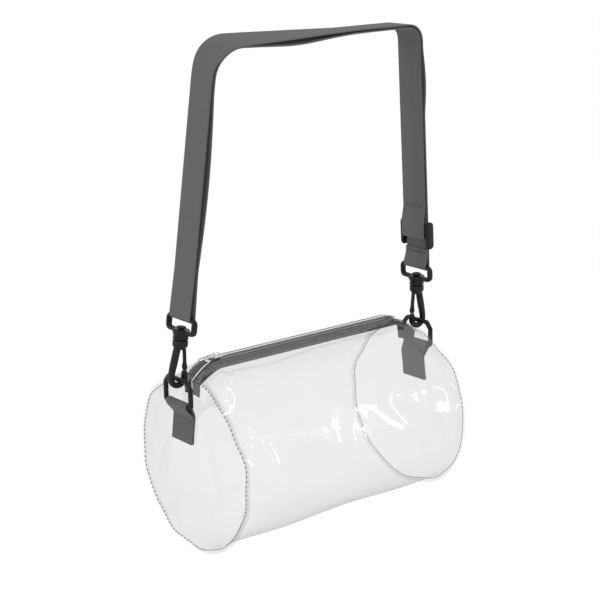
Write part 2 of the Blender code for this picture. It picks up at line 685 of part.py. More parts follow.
def add_glide(right, middle, bar):
    """Three bars between two sides: the middle one inside the webbing, the others outside it."""
    outer = WRAP + WEB / 2 + GAP + GLIDE_DEPTH / 2
    half = WEB_WIDTH / 2 + 0.6 * MM
    reach = half + GLIDE_SIDE
    rise = GLIDE_HEIGHT / 2
    tilt = Matrix.Rotation(math.atan(-right.slope), 4, "Y")
    home = right.at(middle, 0)
    place = Matrix.Translation((home[0], 0, home[1])) @ tilt
    name = "tri_glide"

    def bar_box(label, depth, height):
        low = (depth - GLIDE_DEPTH / 2, -reach + 1 * MM, height - GLIDE_BAR / 2)
        high = (depth + GLIDE_DEPTH / 2, reach - 1 * MM, height + GLIDE_BAR / 2)
        return put(boxed(label, low, high, "plastic"), place)

    def side_plate(label, start, end):
        inside, outside = bar - GLIDE_DEPTH / 2, outer + GLIDE_DEPTH / 2
        corners = [(-outside, -rise), (-inside, -rise), (-inside, rise), (-outside, rise)]
        path = [Vector((0, start, 0)), Vector((0, end, 0))]
        mesh = swept(label, path, rounded(corners, GLIDE_ROUND), AXIS_Z)
        return put(add_object(label, mesh, "plastic"), place)

    glide = side_plate(name, half, reach)
    combine(glide, side_plate(name + "_side", -reach, -half), "UNION")
    edge = rise - GLIDE_BAR / 2 - 2.2 * MM
    combine(glide, bar_box(name + "_middle", bar, 0), "UNION")
    combine(glide, bar_box(name + "_upper", outer, edge), "UNION")
    combine(glide, bar_box(name + "_lower", outer, -edge), "UNION")
    add_origin(glide, Vector((home[0], 0, home[1])))


def add_tack(name, right, height, out):
    """A bar tack across the webbing."""
    face = out - THREAD / 2
    half = WEB_WIDTH / 2 - 3 * MM
    path = xz([right.at(height - 1 * MM, face), right.at(height + 1 * MM, face)])
    mesh = swept(name, path, flat(THREAD, 2 * half), AXIS_Y)
    add_object(name, mesh, "thread")


def main():
    for old in list(bpy.data.objects):
        bpy.data.objects.remove(old)
    add_body_panel()
    places = {}
    for side, word, lean in ((-1, "left", LEFT_LEAN), (1, "right", RIGHT_LEAN)):
        add_end_panel(side, word)
        add_seam_thread(side, word)
        add_tab(side, word)
        add_ring(side, word)
        place = hook_frame(side, lean)
        places[word] = place
        add_hook(side, word, place)
        add_gate(side, word, place)
        add_eye(side, word, place)
        add_zip_stop(side, word)
    add_zip(-1, "front")
    add_zip(1, "back")
    add_pull(add_slider())
    left = Leg(-1, places["left"], LEFT_LEG_SLOPE)
    right = Leg(1, places["right"], RIGHT_LEG_SLOPE)
    add_strap(left, right)


main()
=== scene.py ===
import json
import math

import bmesh
import bpy
from mathutils import Matrix, Vector


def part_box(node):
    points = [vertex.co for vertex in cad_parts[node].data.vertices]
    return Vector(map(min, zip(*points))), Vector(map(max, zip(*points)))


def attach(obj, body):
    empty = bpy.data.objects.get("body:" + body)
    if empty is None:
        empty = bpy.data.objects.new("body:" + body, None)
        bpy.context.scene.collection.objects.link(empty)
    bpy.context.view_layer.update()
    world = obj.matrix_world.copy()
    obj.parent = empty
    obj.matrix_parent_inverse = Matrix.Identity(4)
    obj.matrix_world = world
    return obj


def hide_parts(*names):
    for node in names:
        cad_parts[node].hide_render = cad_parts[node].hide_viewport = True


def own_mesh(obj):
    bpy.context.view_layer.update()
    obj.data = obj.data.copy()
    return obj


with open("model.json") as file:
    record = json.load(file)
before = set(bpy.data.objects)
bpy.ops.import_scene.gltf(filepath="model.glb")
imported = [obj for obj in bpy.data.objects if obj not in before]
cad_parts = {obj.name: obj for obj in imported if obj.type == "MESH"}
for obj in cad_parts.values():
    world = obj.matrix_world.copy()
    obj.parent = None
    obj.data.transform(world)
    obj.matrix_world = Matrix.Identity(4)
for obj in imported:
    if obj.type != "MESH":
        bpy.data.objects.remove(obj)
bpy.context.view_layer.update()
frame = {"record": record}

MM = 0.001
JOINTS = {j["name"]: j for j in frame["record"]["behaviour"]["joints"]}
SIDES = ((-1, "left"), (1, "right"))
AXIS_X = Vector((1, 0, 0))
AXIS_Y = Vector((0, 1, 0))


def joint_point(name):
    return Vector(JOINTS[name]["pos_m"])


# ------------------------------------ sizes, most of them read from the frame

CLEAR = 0.3 * MM  # between pieces that touch
PANEL_LOW, PANEL_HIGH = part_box("end_panel_left")
AXIS_Z = (PANEL_LOW[2] + PANEL_HIGH[2]) / 2
FLANGE = 5 * MM
RADIUS = (PANEL_HIGH[2] - PANEL_LOW[2]) / 2 - FLANGE
DOME = 9 * MM
HALF = -PANEL_LOW[0] - DOME
BODY_LOW, BODY_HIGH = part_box("body_panel")
BODY_HALF = BODY_HIGH[0] - 0.25 * MM
SLOT = 13 * MM  # opening in the film over the zip
RIDGE_RISE = 15 * MM
RIDGE_RAMP = 26 * MM
LEVEL = HALF - RIDGE_RAMP  # the ridge is level up to here
RIDGE_ANGLE = math.radians(42)
TAPE_DEPTH = 1.3 * MM
TAPE_REACH = 15 * MM
TAPE_TAIL = 12 * MM
COIL_GAP = 1.5 * MM
COIL_WIDTH = 1.7 * MM
COIL_HEIGHT = 1.6 * MM
COIL_LOW, COIL_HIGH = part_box("zipper_coil_front")
SLIDER_LOW, SLIDER_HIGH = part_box("zipper_slider")
SLIDER_PLATE = 1.1 * MM

WEB = 1.4 * MM
WEB_WIDTH = 30 * MM
TOP_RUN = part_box("strap_webbing")[1][2] - WEB / 2
LEG_LAYER_GAP = 3.2 * MM
GLIDE_AXIS = Vector(JOINTS["glide_slide"]["axis"])
SLOPES = {"left": 0.148, "right": -GLIDE_AXIS.x / GLIDE_AXIS.z}
CORNERS = {"left": 33 * MM, "right": 15 * MM}
EYE_BAR = 4 * MM
WRAP = EYE_BAR / 2 + CLEAR + WEB / 2
GLIDE_LOW, GLIDE_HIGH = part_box("tri_glide")
GLIDE_MID = (GLIDE_LOW[2] + GLIDE_HIGH[2]) / 2
GLIDE_DEPTH = 2.4 * MM
LOOP_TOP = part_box("strap_sewn_loop")[1][2]
RUN_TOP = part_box("strap_adjusting_run")[1][2]

RING_BAR = 4.4 * MM
RING_ROD = 4.1 * MM
RING_CORNER = 2.4 * MM
RING_SHOULDER = 6 * MM
HOOK_ROD = 5.3 * MM
GATE_ROD = 3.2 * MM
BOWL_RADIUS = 7 * MM
HEAD_LOW = 34 * MM
HEAD_HEIGHT = 6.6 * MM
HEAD_RADIUS = 6.8 * MM
BOSS_LOW = HEAD_LOW + HEAD_HEIGHT + CLEAR
BOSS_TOP = BOSS_LOW + 8.8 * MM
BOSS_RADIUS = 6.9 * MM
BOSS_TOP_RADIUS = 7.8 * MM


# ------------------------------------------------------------------ materials


class Shader:
    """A node material with short helpers for its maths."""

    def __init__(self, name):
        self.material = bpy.data.materials.new(name)
        self.material.use_nodes = True
        self.tree = self.material.node_tree
        self.tree.nodes.clear()
        self.out = self.tree.nodes.new("ShaderNodeOutputMaterial")

    def node(self, kind, **inputs):
        made = self.tree.nodes.new(kind)
        for key, value in inputs.items():
            self.set(made.inputs[key.replace("_", " ")], value)
        return made

    def set(self, socket, value):
        if isinstance(value, bpy.types.NodeSocket):
            self.tree.links.new(value, socket)
        else:
            socket.default_value = value

    def math(self, operation, a, b=0.0, c=0.0):
        made = self.tree.nodes.new("ShaderNodeMath")
        made.operation = operation
        for socket, value in zip(made.inputs, (a, b, c)):
            self.set(socket, value)
        return made.outputs[0]

    def mix(self, share, a, b):
        """A colour between two."""
        made = self.tree.nodes.new("ShaderNodeMix")
        made.data_type = "RGBA"
        self.set(made.inputs[0], share)
        for socket, value in ((made.inputs[6], a), (made.inputs[7], b)):
            self.set(socket, value if isinstance(value, bpy.types.NodeSocket) else (*value, 1))
        return made.outputs[2]

    def noise(self, scale, detail=2.0, stretch=(1, 1, 1), source="Object"):
        place = self.tree.nodes.new("ShaderNodeTexCoord").outputs[source]
        mapped = self.node("ShaderNodeMapping", Vector=place, Scale=stretch)
        made = self.node("ShaderNodeTexNoise", Vector=mapped.outputs[0], Scale=scale, Detail=detail)
        return made.outputs["Fac"]

    def ramp(self, value, low, high):
        made = self.node("ShaderNodeMapRange", Value=value)
        made.inputs["From Min"].default_value = low
        made.inputs["From Max"].default_value = high
        return made.outputs[0]

    def uv(self):
        place = self.tree.nodes.new("ShaderNodeTexCoord").outputs["UV"]
        parts = self.node("ShaderNodeSeparateXYZ", Vector=place)
        return parts.outputs[0], parts.outputs[1]

    def bump(self, height, distance, strength=1.0):
        made = self.node("ShaderNodeBump", Height=height)
        made.inputs["Distance"].default_value = distance
        made.inputs["Strength"].default_value = strength
        return made.outputs[0]

    def principled(self, color, roughness, normal=None, **extra):
        made = self.tree.nodes.new("ShaderNodeBsdfPrincipled")
        self.set(made.inputs["Base Color"], color if isinstance(color, bpy.types.NodeSocket) else (*color, 1))
        self.set(made.inputs["Roughness"], roughness)
        if normal is not None:
            self.set(made.inputs["Normal"], normal)
        for key, value in extra.items():
            self.set(made.inputs[key.replace("_", " ")], value)
        return made.outputs[0]

    def done(self, shader):
        self.tree.links.new(shader, self.out.inputs["Surface"])
        return self.material


def film_material(name):
    """Clear soft film: it lets nearly all light through, dims at a slant and mirrors the lamps."""
    s = Shader(name)
    soft = s.noise(16, 3)
    fine = s.noise(120, 2)
    height = s.math("ADD", soft, s.math("MULTIPLY", fine, 0.06))
    normal = s.bump(height, 0.005, 0.42)
    slant = s.node("ShaderNodeLayerWeight", Blend=0.35, Normal=normal)
    veil = s.math("POWER", slant.outputs["Facing"], 1.8)
    clear = s.mix(veil, (0.912, 0.917, 0.920), (0.64, 0.65, 0.66))
    through = s.node("ShaderNodeBsdfTransparent", Color=clear)
    mirror = s.node("ShaderNodeBsdfAnisotropic", Color=(1, 1, 1, 1), Roughness=0.07, Normal=normal)
    edge = s.node("ShaderNodeFresnel", IOR=1.5, Normal=normal)
    share = s.math("MINIMUM", s.math("MULTIPLY", edge.outputs[0], 0.45), 0.09)
    both = s.node("ShaderNodeMixShader", Fac=share)
    s.tree.links.new(through.outputs[0], both.inputs[1])
    s.tree.links.new(mirror.outputs[0], both.inputs[2])
    return s.done(both.outputs[0])


def webbing_material(name, color, rib=1.15 * MM, pick=1.5 * MM):
    """Ribbed webbing; its UV holds metres across and along the strip."""
    s = Shader(name)
    across, along = s.uv()
    column = s.math("SINE", s.math("MULTIPLY", across, 2 * math.pi / rib))
    shift = s.math("MULTIPLY", s.math("SIGN", column), math.pi / 2)
    cross = s.math("SINE", s.math("ADD", s.math("MULTIPLY", along, 2 * math.pi / pick), shift))
    ribs = s.math("POWER", s.math("ABSOLUTE", column), 0.6)
    knit = s.math("MULTIPLY", ribs, s.math("MULTIPLY_ADD", cross, 0.35, 0.65))
    fuzz = s.noise(2600, 2)
    height = s.math("ADD", knit, s.math("MULTIPLY", fuzz, 0.35))
    normal = s.bump(height, 0.00022, 0.9)
    dark = tuple(c * 0.62 for c in color)
    light = tuple(min(1, c * 1.22) for c in color)
    woven = s.mix(s.ramp(knit, 0.1, 0.95), dark, light)
    cloud = s.ramp(s.noise(55, 3), 0.3, 0.7)
    tone = s.mix(s.math("MULTIPLY", cloud, 0.35), woven, tuple(c * 0.8 for c in color))
    sheen = {"Sheen_Weight": 0.08, "Sheen_Roughness": 0.5}
    return s.done(s.principled(tone, 0.85, normal, Specular_IOR_Level=0.15, **sheen))


def tape_material():
    """Close-woven zip tape with a fine herringbone."""
    s = Shader("zip_tape_weave")
    across, along = s.uv()
    pick = 2 * math.pi / (0.9 * MM)
    fold = s.math("PINGPONG", across, 1.2 * MM)
    lean = s.math("ADD", s.math("MULTIPLY", fold, pick), s.math("MULTIPLY", along, pick))
    weave = s.math("SINE", lean)
    normal = s.bump(weave, 0.0001, 0.8)
    tone = s.mix(s.ramp(weave, -1, 1), (0.035, 0.035, 0.037), (0.085, 0.085, 0.088))
    return s.done(s.principled(tone, 0.9, normal, Sheen_Weight=0.15, Specular_IOR_Level=0.2))


def plastic_material():
    """Black moulded hardware with a faint grain and softly scuffed patches."""
    s = Shader("moulded_black")
    grain = s.noise(1500, 2)
    scuff = s.ramp(s.noise(140, 4), 0.45, 0.75)
    normal = s.bump(grain, 0.00006, 0.5)
    tone = s.mix(scuff, (0.005, 0.005, 0.0055), (0.010, 0.010, 0.0105))
    rough = s.math("MULTIPLY_ADD", scuff, 0.14, 0.34)
    return s.done(s.principled(tone, rough, normal, Specular_IOR_Level=0.2))


def metal_material():
    """Bright plating, slightly worn."""
    s = Shader("bright_plated_metal")
    wear = s.noise(700, 4, (1, 5, 1))
    normal = s.bump(wear, 0.00005, 0.6)
    tone = s.mix(s.ramp(wear, 0.35, 0.7), (0.62, 0.62, 0.63), (0.80, 0.80, 0.80))
    rough = s.math("MULTIPLY_ADD", wear, 0.2, 0.16)
    return s.done(s.principled(tone, rough, normal, Metallic=1.0))


def coil_material():
    """Grey nylon of uneven tone."""
    s = Shader("coil_nylon")
    spread = s.noise(900, 2)
    tone = s.mix(s.ramp(spread, 0.3, 0.7), (0.12, 0.12, 0.125), (0.21, 0.21, 0.22))
    return s.done(s.principled(tone, 0.38, s.bump(spread, 0.00004, 0.5), Specular_IOR_Level=0.5))


def thread_material(name, color):
    """Twisted sewing thread."""
    s = Shader(name)
    twist = s.noise(3200, 2, (1, 1, 3))
    tone = s.mix(s.ramp(twist, 0.3, 0.7), tuple(c * 0.6 for c in color), color)
    return s.done(s.principled(tone, 0.75, s.bump(twist, 0.00008, 0.8), Sheen_Weight=0.2))


FILM = film_material("clear_film")
WEB_GREY = (0.108, 0.108, 0.110)
WEBBING = webbing_material("strap_weave", WEB_GREY)
TAB_WEBBING = webbing_material("tab_weave", WEB_GREY)
TAPE = tape_material()
PLASTIC = plastic_material()
METAL = metal_material()
COIL = coil_material()
DARK_THREAD = thread_material("thread_dark", (0.035, 0.035, 0.037))
GREY_THREAD = thread_material("thread_grey", (0.13, 0.13, 0.135))


# ------------------------------------------------------------------- geometry


def piece(name, mesh, material, body, stands_for=(), smooth_angle=40):
    """One visible piece, which rides a body and stands for some CAD nodes."""
    obj = bpy.data.objects.new(name, mesh)
    bpy.context.scene.collection.objects.link(obj)
    mesh.materials.append(material)
    mesh.shade_smooth()
    mesh.set_sharp_from_angle(angle=math.radians(smooth_angle))
    if stands_for:
        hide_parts(*stands_for)
    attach(obj, body)
    return obj


def reworked(mesh, change):
    """The same mesh after a change that is made through bmesh."""
    work = bmesh.new()
    work.from_mesh(mesh)
    change(work)
    work.to_mesh(mesh)
    work.free()
    return mesh


def faced_out(work):
    bmesh.ops.recalc_face_normals(work, faces=work.faces)


def mesh_of(name, points, faces, uvs=None):
    """A mesh with its faces turned outwards; uvs is one (u, v) for each point."""
    mesh = bpy.data.meshes.new(name)
    mesh.from_pydata([tuple(p) for p in points], [], faces)
    if uvs:
        layer = mesh.uv_layers.new(name="UVMap")
        for loop in mesh.loops:
            layer.data[loop.index].uv = uvs[loop.vertex_index]
    return reworked(mesh, faced_out)


def band(a, b, size):
    """Faces between two closed rows of points, which start at a and b."""
    return [(a + k, a + (k + 1) % size, b + (k + 1) % size, b + k) for k in range(size)]


def joined(name, meshes):
    """Several meshes in one."""
    work = bmesh.new()
    for mesh in meshes:
        work.from_mesh(mesh)
    made = bpy.data.meshes.new(name)
    work.to_mesh(made)
    work.free()
    return made


def swept(name, path, section, normals, closed=False, scales=None):
    """A section swept along a path.

    normals is the section's second axis, as one direction or one for each point.
    """
    count = len(path)
    points, uvs, run = [], [], 0.0
    for i, here in enumerate(path):
        before = path[i - 1] if closed or i else here
        after = path[(i + 1) % count] if closed or i < count - 1 else here
        along = (after - before).normalized()
        normal = normals[i] if isinstance(normals, list) else normals
        normal = (normal - along * normal.dot(along)).normalized()
        side = normal.cross(along)
        grow = scales[i] if scales else (1, 1)
        if i:
            run += (here - path[i - 1]).length
        for s, q in section:
            points.append(here + side * s * grow[0] + normal * q * grow[1])
            uvs.append((q, run))
    size = len(section)
    faces = []
    for i in range(count if closed else count - 1):
        faces += band(i * size, (i + 1) % count * size, size)
    if not closed:
        faces += [tuple(range(size)), tuple(range((count - 1) * size, count * size))]
    return mesh_of(name, points, faces, uvs)


def ellipse(width, height, sides=16, square=2.4):
    """A section between an ellipse and a box."""
    out = []
    for k in range(sides):
        t = 2 * math.pi * (k + 0.5) / sides
        c, s = math.cos(t), math.sin(t)
        a = math.copysign(abs(c) ** (2 / square), c) * width / 2
        b = math.copysign(abs(s) ** (2 / square), s) * height / 2
        out.append((a, b))
    return out


def web_section(thick=WEB, width=WEB_WIDTH, steps=8):
    """A flat strip's section with round edges."""
    edge, flat = thick / 2, width / 2 - thick / 2
    turn = [(edge * math.cos(a), flat + edge * math.sin(a)) for a in (0.8, 1.57, 2.34)]
    face = [(edge, -flat + (width - thick) * k / steps) for k in range(steps + 1)]
    return face + turn + [(-a, -b) for a, b in face + turn]


def prism(name, outline, low, high, bevel, lift):
    """A plate with the given outline and rounded rims; lift(a, b, t) gives each point."""
    outline = [Vector(p) for p in outline]
    middle = sum(outline, Vector((0, 0))) / len(outline)
    points, size = [], len(outline)
    rims = ((0.0, 1.0), (0.3, 0.3), (1.0, 0.0))
    rows = [(low + bevel * a, b) for a, b in rims]
    rows += [(high - bevel * a, b) for a, b in reversed(rims)]
    for t, inset in rows:
        for p in outline:
            q = p + (middle - p).normalized() * bevel * inset
            points.append(lift(q.x, q.y, t))
    faces = []
    for r in range(5):
        faces += band(r * size, (r + 1) * size, size)
    faces += [tuple(range(size)), tuple(range(5 * size, 6 * size))]
    return mesh_of(name, points, faces)


def arc(center, radius, start, end, steps):
    turn = [math.radians(start + (end - start) * k / steps) for k in range(steps + 1)]
    return [(center[0] + radius * math.cos(t), center[1] + radius * math.sin(t)) for t in turn]


def rounded(corners, radius, steps=8):
    """A closed outline of (a, b) points with its corners turned into arcs."""
    out = []
    count = len(corners)
    for i, here in enumerate(corners):
        here = Vector(here)
        come = (here - Vector(corners[i - 1])).normalized()
        go = (Vector(corners[(i + 1) % count]) - here).normalized()
        half = math.acos(max(-1, min(1, come.dot(go)))) / 2
        cut = radius * math.tan(half)
        start, end = here - come * cut, here + go * cut
        center = start + Vector((-come.y, come.x)) * radius
        for k in range(steps + 1):
            point = start.lerp(end, k / steps)
            out.append(center + (point - center).normalized() * radius)
    return out


def even(points, step, closed=False):
    """The same line with points at even distances."""
    points = [Vector(p) for p in points]
    if closed:
        points = points + [points[0]]
    lengths = [0.0]
    for a, b in zip(points, points[1:]):
        lengths.append(lengths[-1] + (b - a).length)
    total = lengths[-1]
    count = max(2, round(total / step))
    out, k = [], 0
    for i in range(count + (0 if closed else 1)):
        want = total * i / count
        while k < len(points) - 2 and lengths[k + 1] < want:
            k += 1
        span = lengths[k + 1] - lengths[k]
        share = (want - lengths[k]) / span if span > 0 else 0
        out.append(points[k].lerp(points[k + 1], min(1, share)))
    return out


def softened(points, rounds=2, closed=False):
    """Each inner point moved to the mean of its neighbours and itself."""
    for _ in range(rounds):
        new = list(points)
        for i in range(0 if closed else 1, len(points) - (0 if closed else 1)):
            new[i] = (points[i - 1] + points[i] * 2 + points[(i + 1) % len(points)]) / 4
        points = new
    return points


def length_of(path):
    return sum((b - a).length for a, b in zip(path, path[1:]))


def xz(points):
    return [Vector((x, 0, z)) for x, z in points]


def turned(name, profile, place, sides=48):
    """A closed profile of (radius, height) turned about the place's own upright axis."""
    points, faces = [], []
    for k in range(sides):
        t = 2 * math.pi * k / sides
        points += [place @ Vector((r * math.cos(t), r * math.sin(t), z)) for r, z in profile]
    size = len(profile)
    for k in range(sides):
        faces += band(k * size, (k + 1) % sides * size, size)
    return reworked(
        mesh_of(name, points, faces),
        lambda work: bmesh.ops.remove_doubles(work, verts=work.verts, dist=1e-6),
    )


def round_slab(r0, r1, low, high, fillet, steps=4):
    """A turned profile from an inner to an outer radius with rounded outer edges."""
    inner = r1 - fillet
    lower = arc((inner, low + fillet), fillet, -90, 0, steps)
    upper = arc((inner, high - fillet), fillet, 0, 90, steps)
    return [(r0, low), *lower, *upper, (r0, high)]


def stitches(name, path, length, gap, thick, lift, closed=False):
    """A row of separate stitches along a path, each a little bar with sunk ends."""
    step = 6
    points = even(path, (length + gap) / step, closed)
    total = len(points)
    used = max(2, round(step * length / (length + gap)))
    meshes = []
    for start in range(0, total - step + 1, step):
        run = [points[(start + k) % total] for k in range(used + 1)]
        shape = [math.sin(math.pi * (0.12 + 0.76 * k / used)) for k in range(used + 1)]
        run = [p + lift * thick * 0.35 * (h - 0.6) for p, h in zip(run, shape)]
        scales = [(0.55 + 0.45 * h, 0.55 + 0.45 * h) for h in shape]
        meshes.append(swept(name + "_bit", run, ellipse(thick, thick, 8, 2), lift, scales=scales))
    mesh = joined(name, meshes)
    for bit in meshes:
        bpy.data.meshes.remove(bit)
    return mesh


# ---------------------------------------------------------- camera and stage

CAMERA_AZIMUTH = math.radians(-38.70)
CAMERA_ELEVATION = math.radians(15.14)
CAMERA_ROLL = math.radians(-0.90)
CAMERA_DISTANCE = 1.478
AIM_RIGHT = -5.2 * MM
AIM_UP = 121.1 * MM
LENS = 96.0


def add_camera():
    """Looks past the bag's middle, so that the whole strap is in view."""
    a, e = CAMERA_AZIMUTH, CAMERA_ELEVATION
    back = Vector((math.sin(a) * math.cos(e), -math.cos(a) * math.cos(e), math.sin(e)))
    level = Vector((math.cos(a), math.sin(a), 0))
    upright = back.cross(level)
    c, s = math.cos(CAMERA_ROLL), math.sin(CAMERA_ROLL)
    right = level * c + upright * s
    up = upright * c - level * s
    data = bpy.data.cameras.new("camera")
    data.lens = LENS
    data.sensor_width = 36
    camera = bpy.data.objects.new("camera", data)
    place = Vector((0, 0, AXIS_Z)) + right * AIM_RIGHT + up * AIM_UP + back * CAMERA_DISTANCE
    camera.matrix_world = Matrix.Translation(place) @ Matrix((right, up, back)).transposed().to_4x4()
    bpy.context.scene.collection.objects.link(camera)
    bpy.context.scene.camera = camera


def add_lamp(name, place, aim, size, power):
    data = bpy.data.lights.new(name, "AREA")
    data.shape = "RECTANGLE"
    data.size, data.size_y = size
    data.energy = power
    lamp = bpy.data.objects.new(name, data)
    lamp.location = place
    lamp.rotation_euler = (Vector(aim) - Vector(place)).to_track_quat("-Z", "Y").to_euler()
    bpy.context.scene.collection.objects.link(lamp)


def add_stage():
    floor_z = BODY_LOW[2] - 1.2
    reach = 80
    corners = [(reach * a, reach * b, floor_z) for a, b in ((-1, -1), (1, -1), (1, 1), (-1, 1))]
    mesh = mesh_of("floor", corners, [(0, 1, 2, 3)])
    floor = bpy.data.objects.new("floor", mesh)
    bpy.context.scene.collection.objects.link(floor)
    s = Shader("floor_paint")
    mesh.materials.append(s.done(s.principled((0.97, 0.97, 0.97), 0.9, Specular_IOR_Level=0.0)))
    world = bpy.data.worlds.new("studio")
    world.use_nodes = True
    sky = world.node_tree.nodes["Background"]
    sky.inputs["Color"].default_value = (1, 1, 1, 1)
    sky.inputs["Strength"].default_value = 1.04
    bpy.context.scene.world = world
    bpy.context.scene.view_settings.view_transform = "Standard"
    middle = (0, 0, AXIS_Z)
    add_lamp("key", (-1.1, -1.5, 0.75), middle, (0.04, 0.9), 4.5)
    add_lamp("left", (-1.5, 0.1, 0.15), middle, (0.05, 0.8), 3.0)
    add_lamp("right", (1.2, -1.3, 0.0), middle, (0.02, 0.9), 1.0)
    add_lamp("top", (0.2, -0.5, 1.4), middle, (0.9, 0.06), 4.0)
    add_lamp("low", (-0.4, -1.4, -1.0), middle, (0.7, 0.05), 2.5)


# ------------------------------------------------------------------ bag body


def ridge_share(x):
    past = max(0.0, abs(x) - LEVEL) / RIDGE_RAMP
    return math.cos(min(1.0, past) * math.pi / 2)


def body_radius(x, angle):
    bump = math.cos(min(1.0, abs(angle) / RIDGE_ANGLE) * math.pi / 2) ** 2
    return RADIUS + RIDGE_RISE * ridge_share(x) * bump


def crease(point, start, end, width, depth):
    """How far a fold from start to end pushes the film out, with its width and depth in mm."""
    px, py = point[0] - start[0], point[1] - start[1]
    dx, dy = end[0] - start[0], end[1] - start[1]
    reach = math.hypot(dx, dy)
    t = (px * dx + py * dy) / reach / reach
    off = (px * dy - py * dx) / reach / (width * MM)
    fade = math.exp(-((2 * t - 1) ** 4)) * math.exp(-abs(off) ** 1.5)
    return depth * MM * fade


def unrolled(x, degrees):
    return (x * MM, math.radians(degrees) * RADIUS)


# from and to, each as (mm along the bag, degrees round it), then width and depth in mm
BODY_FOLDS = (
    ((-124, -38), (-92, -86), 6, 1.7),
    ((-122, -52), (-100, -64), 7, -1.3),
    ((-100, -10), (-112, -40), 5, 1.3),
    ((-112, -22), (-84, -50), 6, -1.2),
    ((-46, -52), (-30, -86), 8, 1.0),
    ((-8, -75), (20, -120), 9, 1.2),
    ((40, -60), (100, -112), 9, -1.1),
    ((60, -40), (124, -70), 8, 1.1),
    ((104, -20), (122, -52), 6, 1.2),
    ((-80, -110), (-20, -140), 10, -1.0),
    ((-122, 30), (-80, 80), 8, 1.4),
    ((-60, 60), (-20, 110), 9, -1.2),
    ((20, 50), (70, 100), 9, 1.2),
    ((80, 40), (124, 90), 8, -1.3),
    ((-30, 140), (60, 165), 11, 1.1),
    ((-110, 120), (-60, 150), 9, 1.0),
)


FLANGE_CURL = 0.9 * MM
CURLS = 17  # round each end
SEAM_GIVE = 16 * MM  # over this length the body follows its wandering seam


def seam_shift(angle, side):
    """How far outwards an end seam wanders, as sewn film does."""
    a = side * angle
    slow = math.sin(2 * a + 0.6) + 0.7 * math.sin(3 * a - 1.1)
    return MM * (0.75 * slow + 0.7 * math.sin(7 * a + 2.0) + 0.45 * math.sin(13 * a))


def seam_puff(angle, side):
    """The same, away from the bag's axis."""
    a = side * angle
    return MM * (0.7 * math.sin(5 * a + 0.4) + 0.6 * math.sin(11 * a - 0.7))


def film_push(x, angle):
    """The film's folds and slow unevenness, none of it at the seams or beside the zip."""
    here = (x, angle * RADIUS)
    push = sum(crease(here, unrolled(*a), unrolled(*b), *size) for a, b, *size in BODY_FOLDS)
    push *= 1.35
    push += 0.7 * MM * math.sin(31 * x + 2 * angle) * math.sin(3 * angle + 11 * x)
    push += 0.5 * MM * math.sin(5 * angle - 47 * x)
    seam = min(1.0, (BODY_HALF - abs(x)) / (14 * MM))
    zip_side = min(1.0, max(0.0, abs(angle) * RADIUS - 16 * MM) / (12 * MM))
    return push * max(0.0, seam) * zip_side


def body_point(x, angle, lift=0.0):
    radius = body_radius(x, angle) + film_push(x, angle) + lift
    return Vector((x, radius * math.sin(angle), AXIS_Z + radius * math.cos(angle)))


def grid(name, rows, wrap=False, uvs=None):
    width = len(rows[0])
    points = [p for row in rows for p in row]
    faces = []
    for r in range(len(rows) - 1):
        for c in range(width if wrap else width - 1):
            d = (c + 1) % width
            faces.append((r * width + c, r * width + d, (r + 1) * width + d, (r + 1) * width + c))
    return mesh_of(name, points, faces, uvs)


def add_film_body():
    slot = SLOT / 2 / (RADIUS + RIDGE_RISE)
    turns, along = 200, 130
    angles = [slot + (2 * math.pi - 2 * slot) * k / turns for k in range(turns + 1)]
    angles = [a if a <= math.pi else a - 2 * math.pi for a in angles]
    rows = []
    places = [(-BODY_HALF, FLANGE * k / 4) for k in range(4, 0, -1)]
    places += [(-BODY_HALF + 2 * BODY_HALF * k / along, 0.0) for k in range(along + 1)]
    places += [(BODY_HALF, FLANGE * k / 4) for k in range(1, 5)]
    for x, lift in places:
        row = []
        side = math.copysign(1, x)
        near_seam = max(0.0, 1 - (BODY_HALF - abs(x)) / SEAM_GIVE) ** 2
        for a in angles:
            puff = seam_puff(a, side) * near_seam
            curl = FLANGE_CURL * math.sin(CURLS * a) * (lift / FLANGE) ** 2
            point = body_point(x, a, min(lift, FLANGE - abs(puff)) + puff)
            outwards = seam_shift(a, side) * near_seam - abs(curl)
            row.append(point + Vector((side * outwards, 0, 0)))
        rows.append(row)
    body = piece("film_body", grid("film_body", rows), FILM, "bag", ("body_panel",))


# from and to, each in mm from the panel's middle, then width and depth in mm
PANEL_FOLDS = (
    ((-5, 52), (-25, -8), 5, 1.2),
    ((-30, 20), (-62, -36), 6, -1.1),
    ((20, 50), (40, -10), 6, -1.2),
    ((40, 30), (56, -20), 5, 1.0),
    ((-8, -30), (-20, -66), 6, 1.1),
    ((30, -34), (8, -62), 7, -0.9),
    ((-52, 30), (-30, 56), 6, 1.0),
)


def panel_out(y, z, side):
    """How far outwards an end panel stands at a point given from the bag's axis."""
    radius = math.hypot(y, z)
    share = max(0.0, 1 - (radius / RADIUS) ** 2)
    here = (side * y, z)
    push = 0.0
    for start, end, width, depth in PANEL_FOLDS:
        push += crease(here, Vector(start) * MM, Vector(end) * MM, width, depth)
    push += 0.5 * MM * math.sin(70 * y + 30 * z)
    beside_tab = min(1.0, max(0.0, (abs(y) - 14 * MM) / (8 * MM)))
    clear_of_tab = beside_tab if 16 * MM < z < 62 * MM else 1.0
    return HALF + DOME * share + push * min(1.0, 4 * share) * clear_of_tab


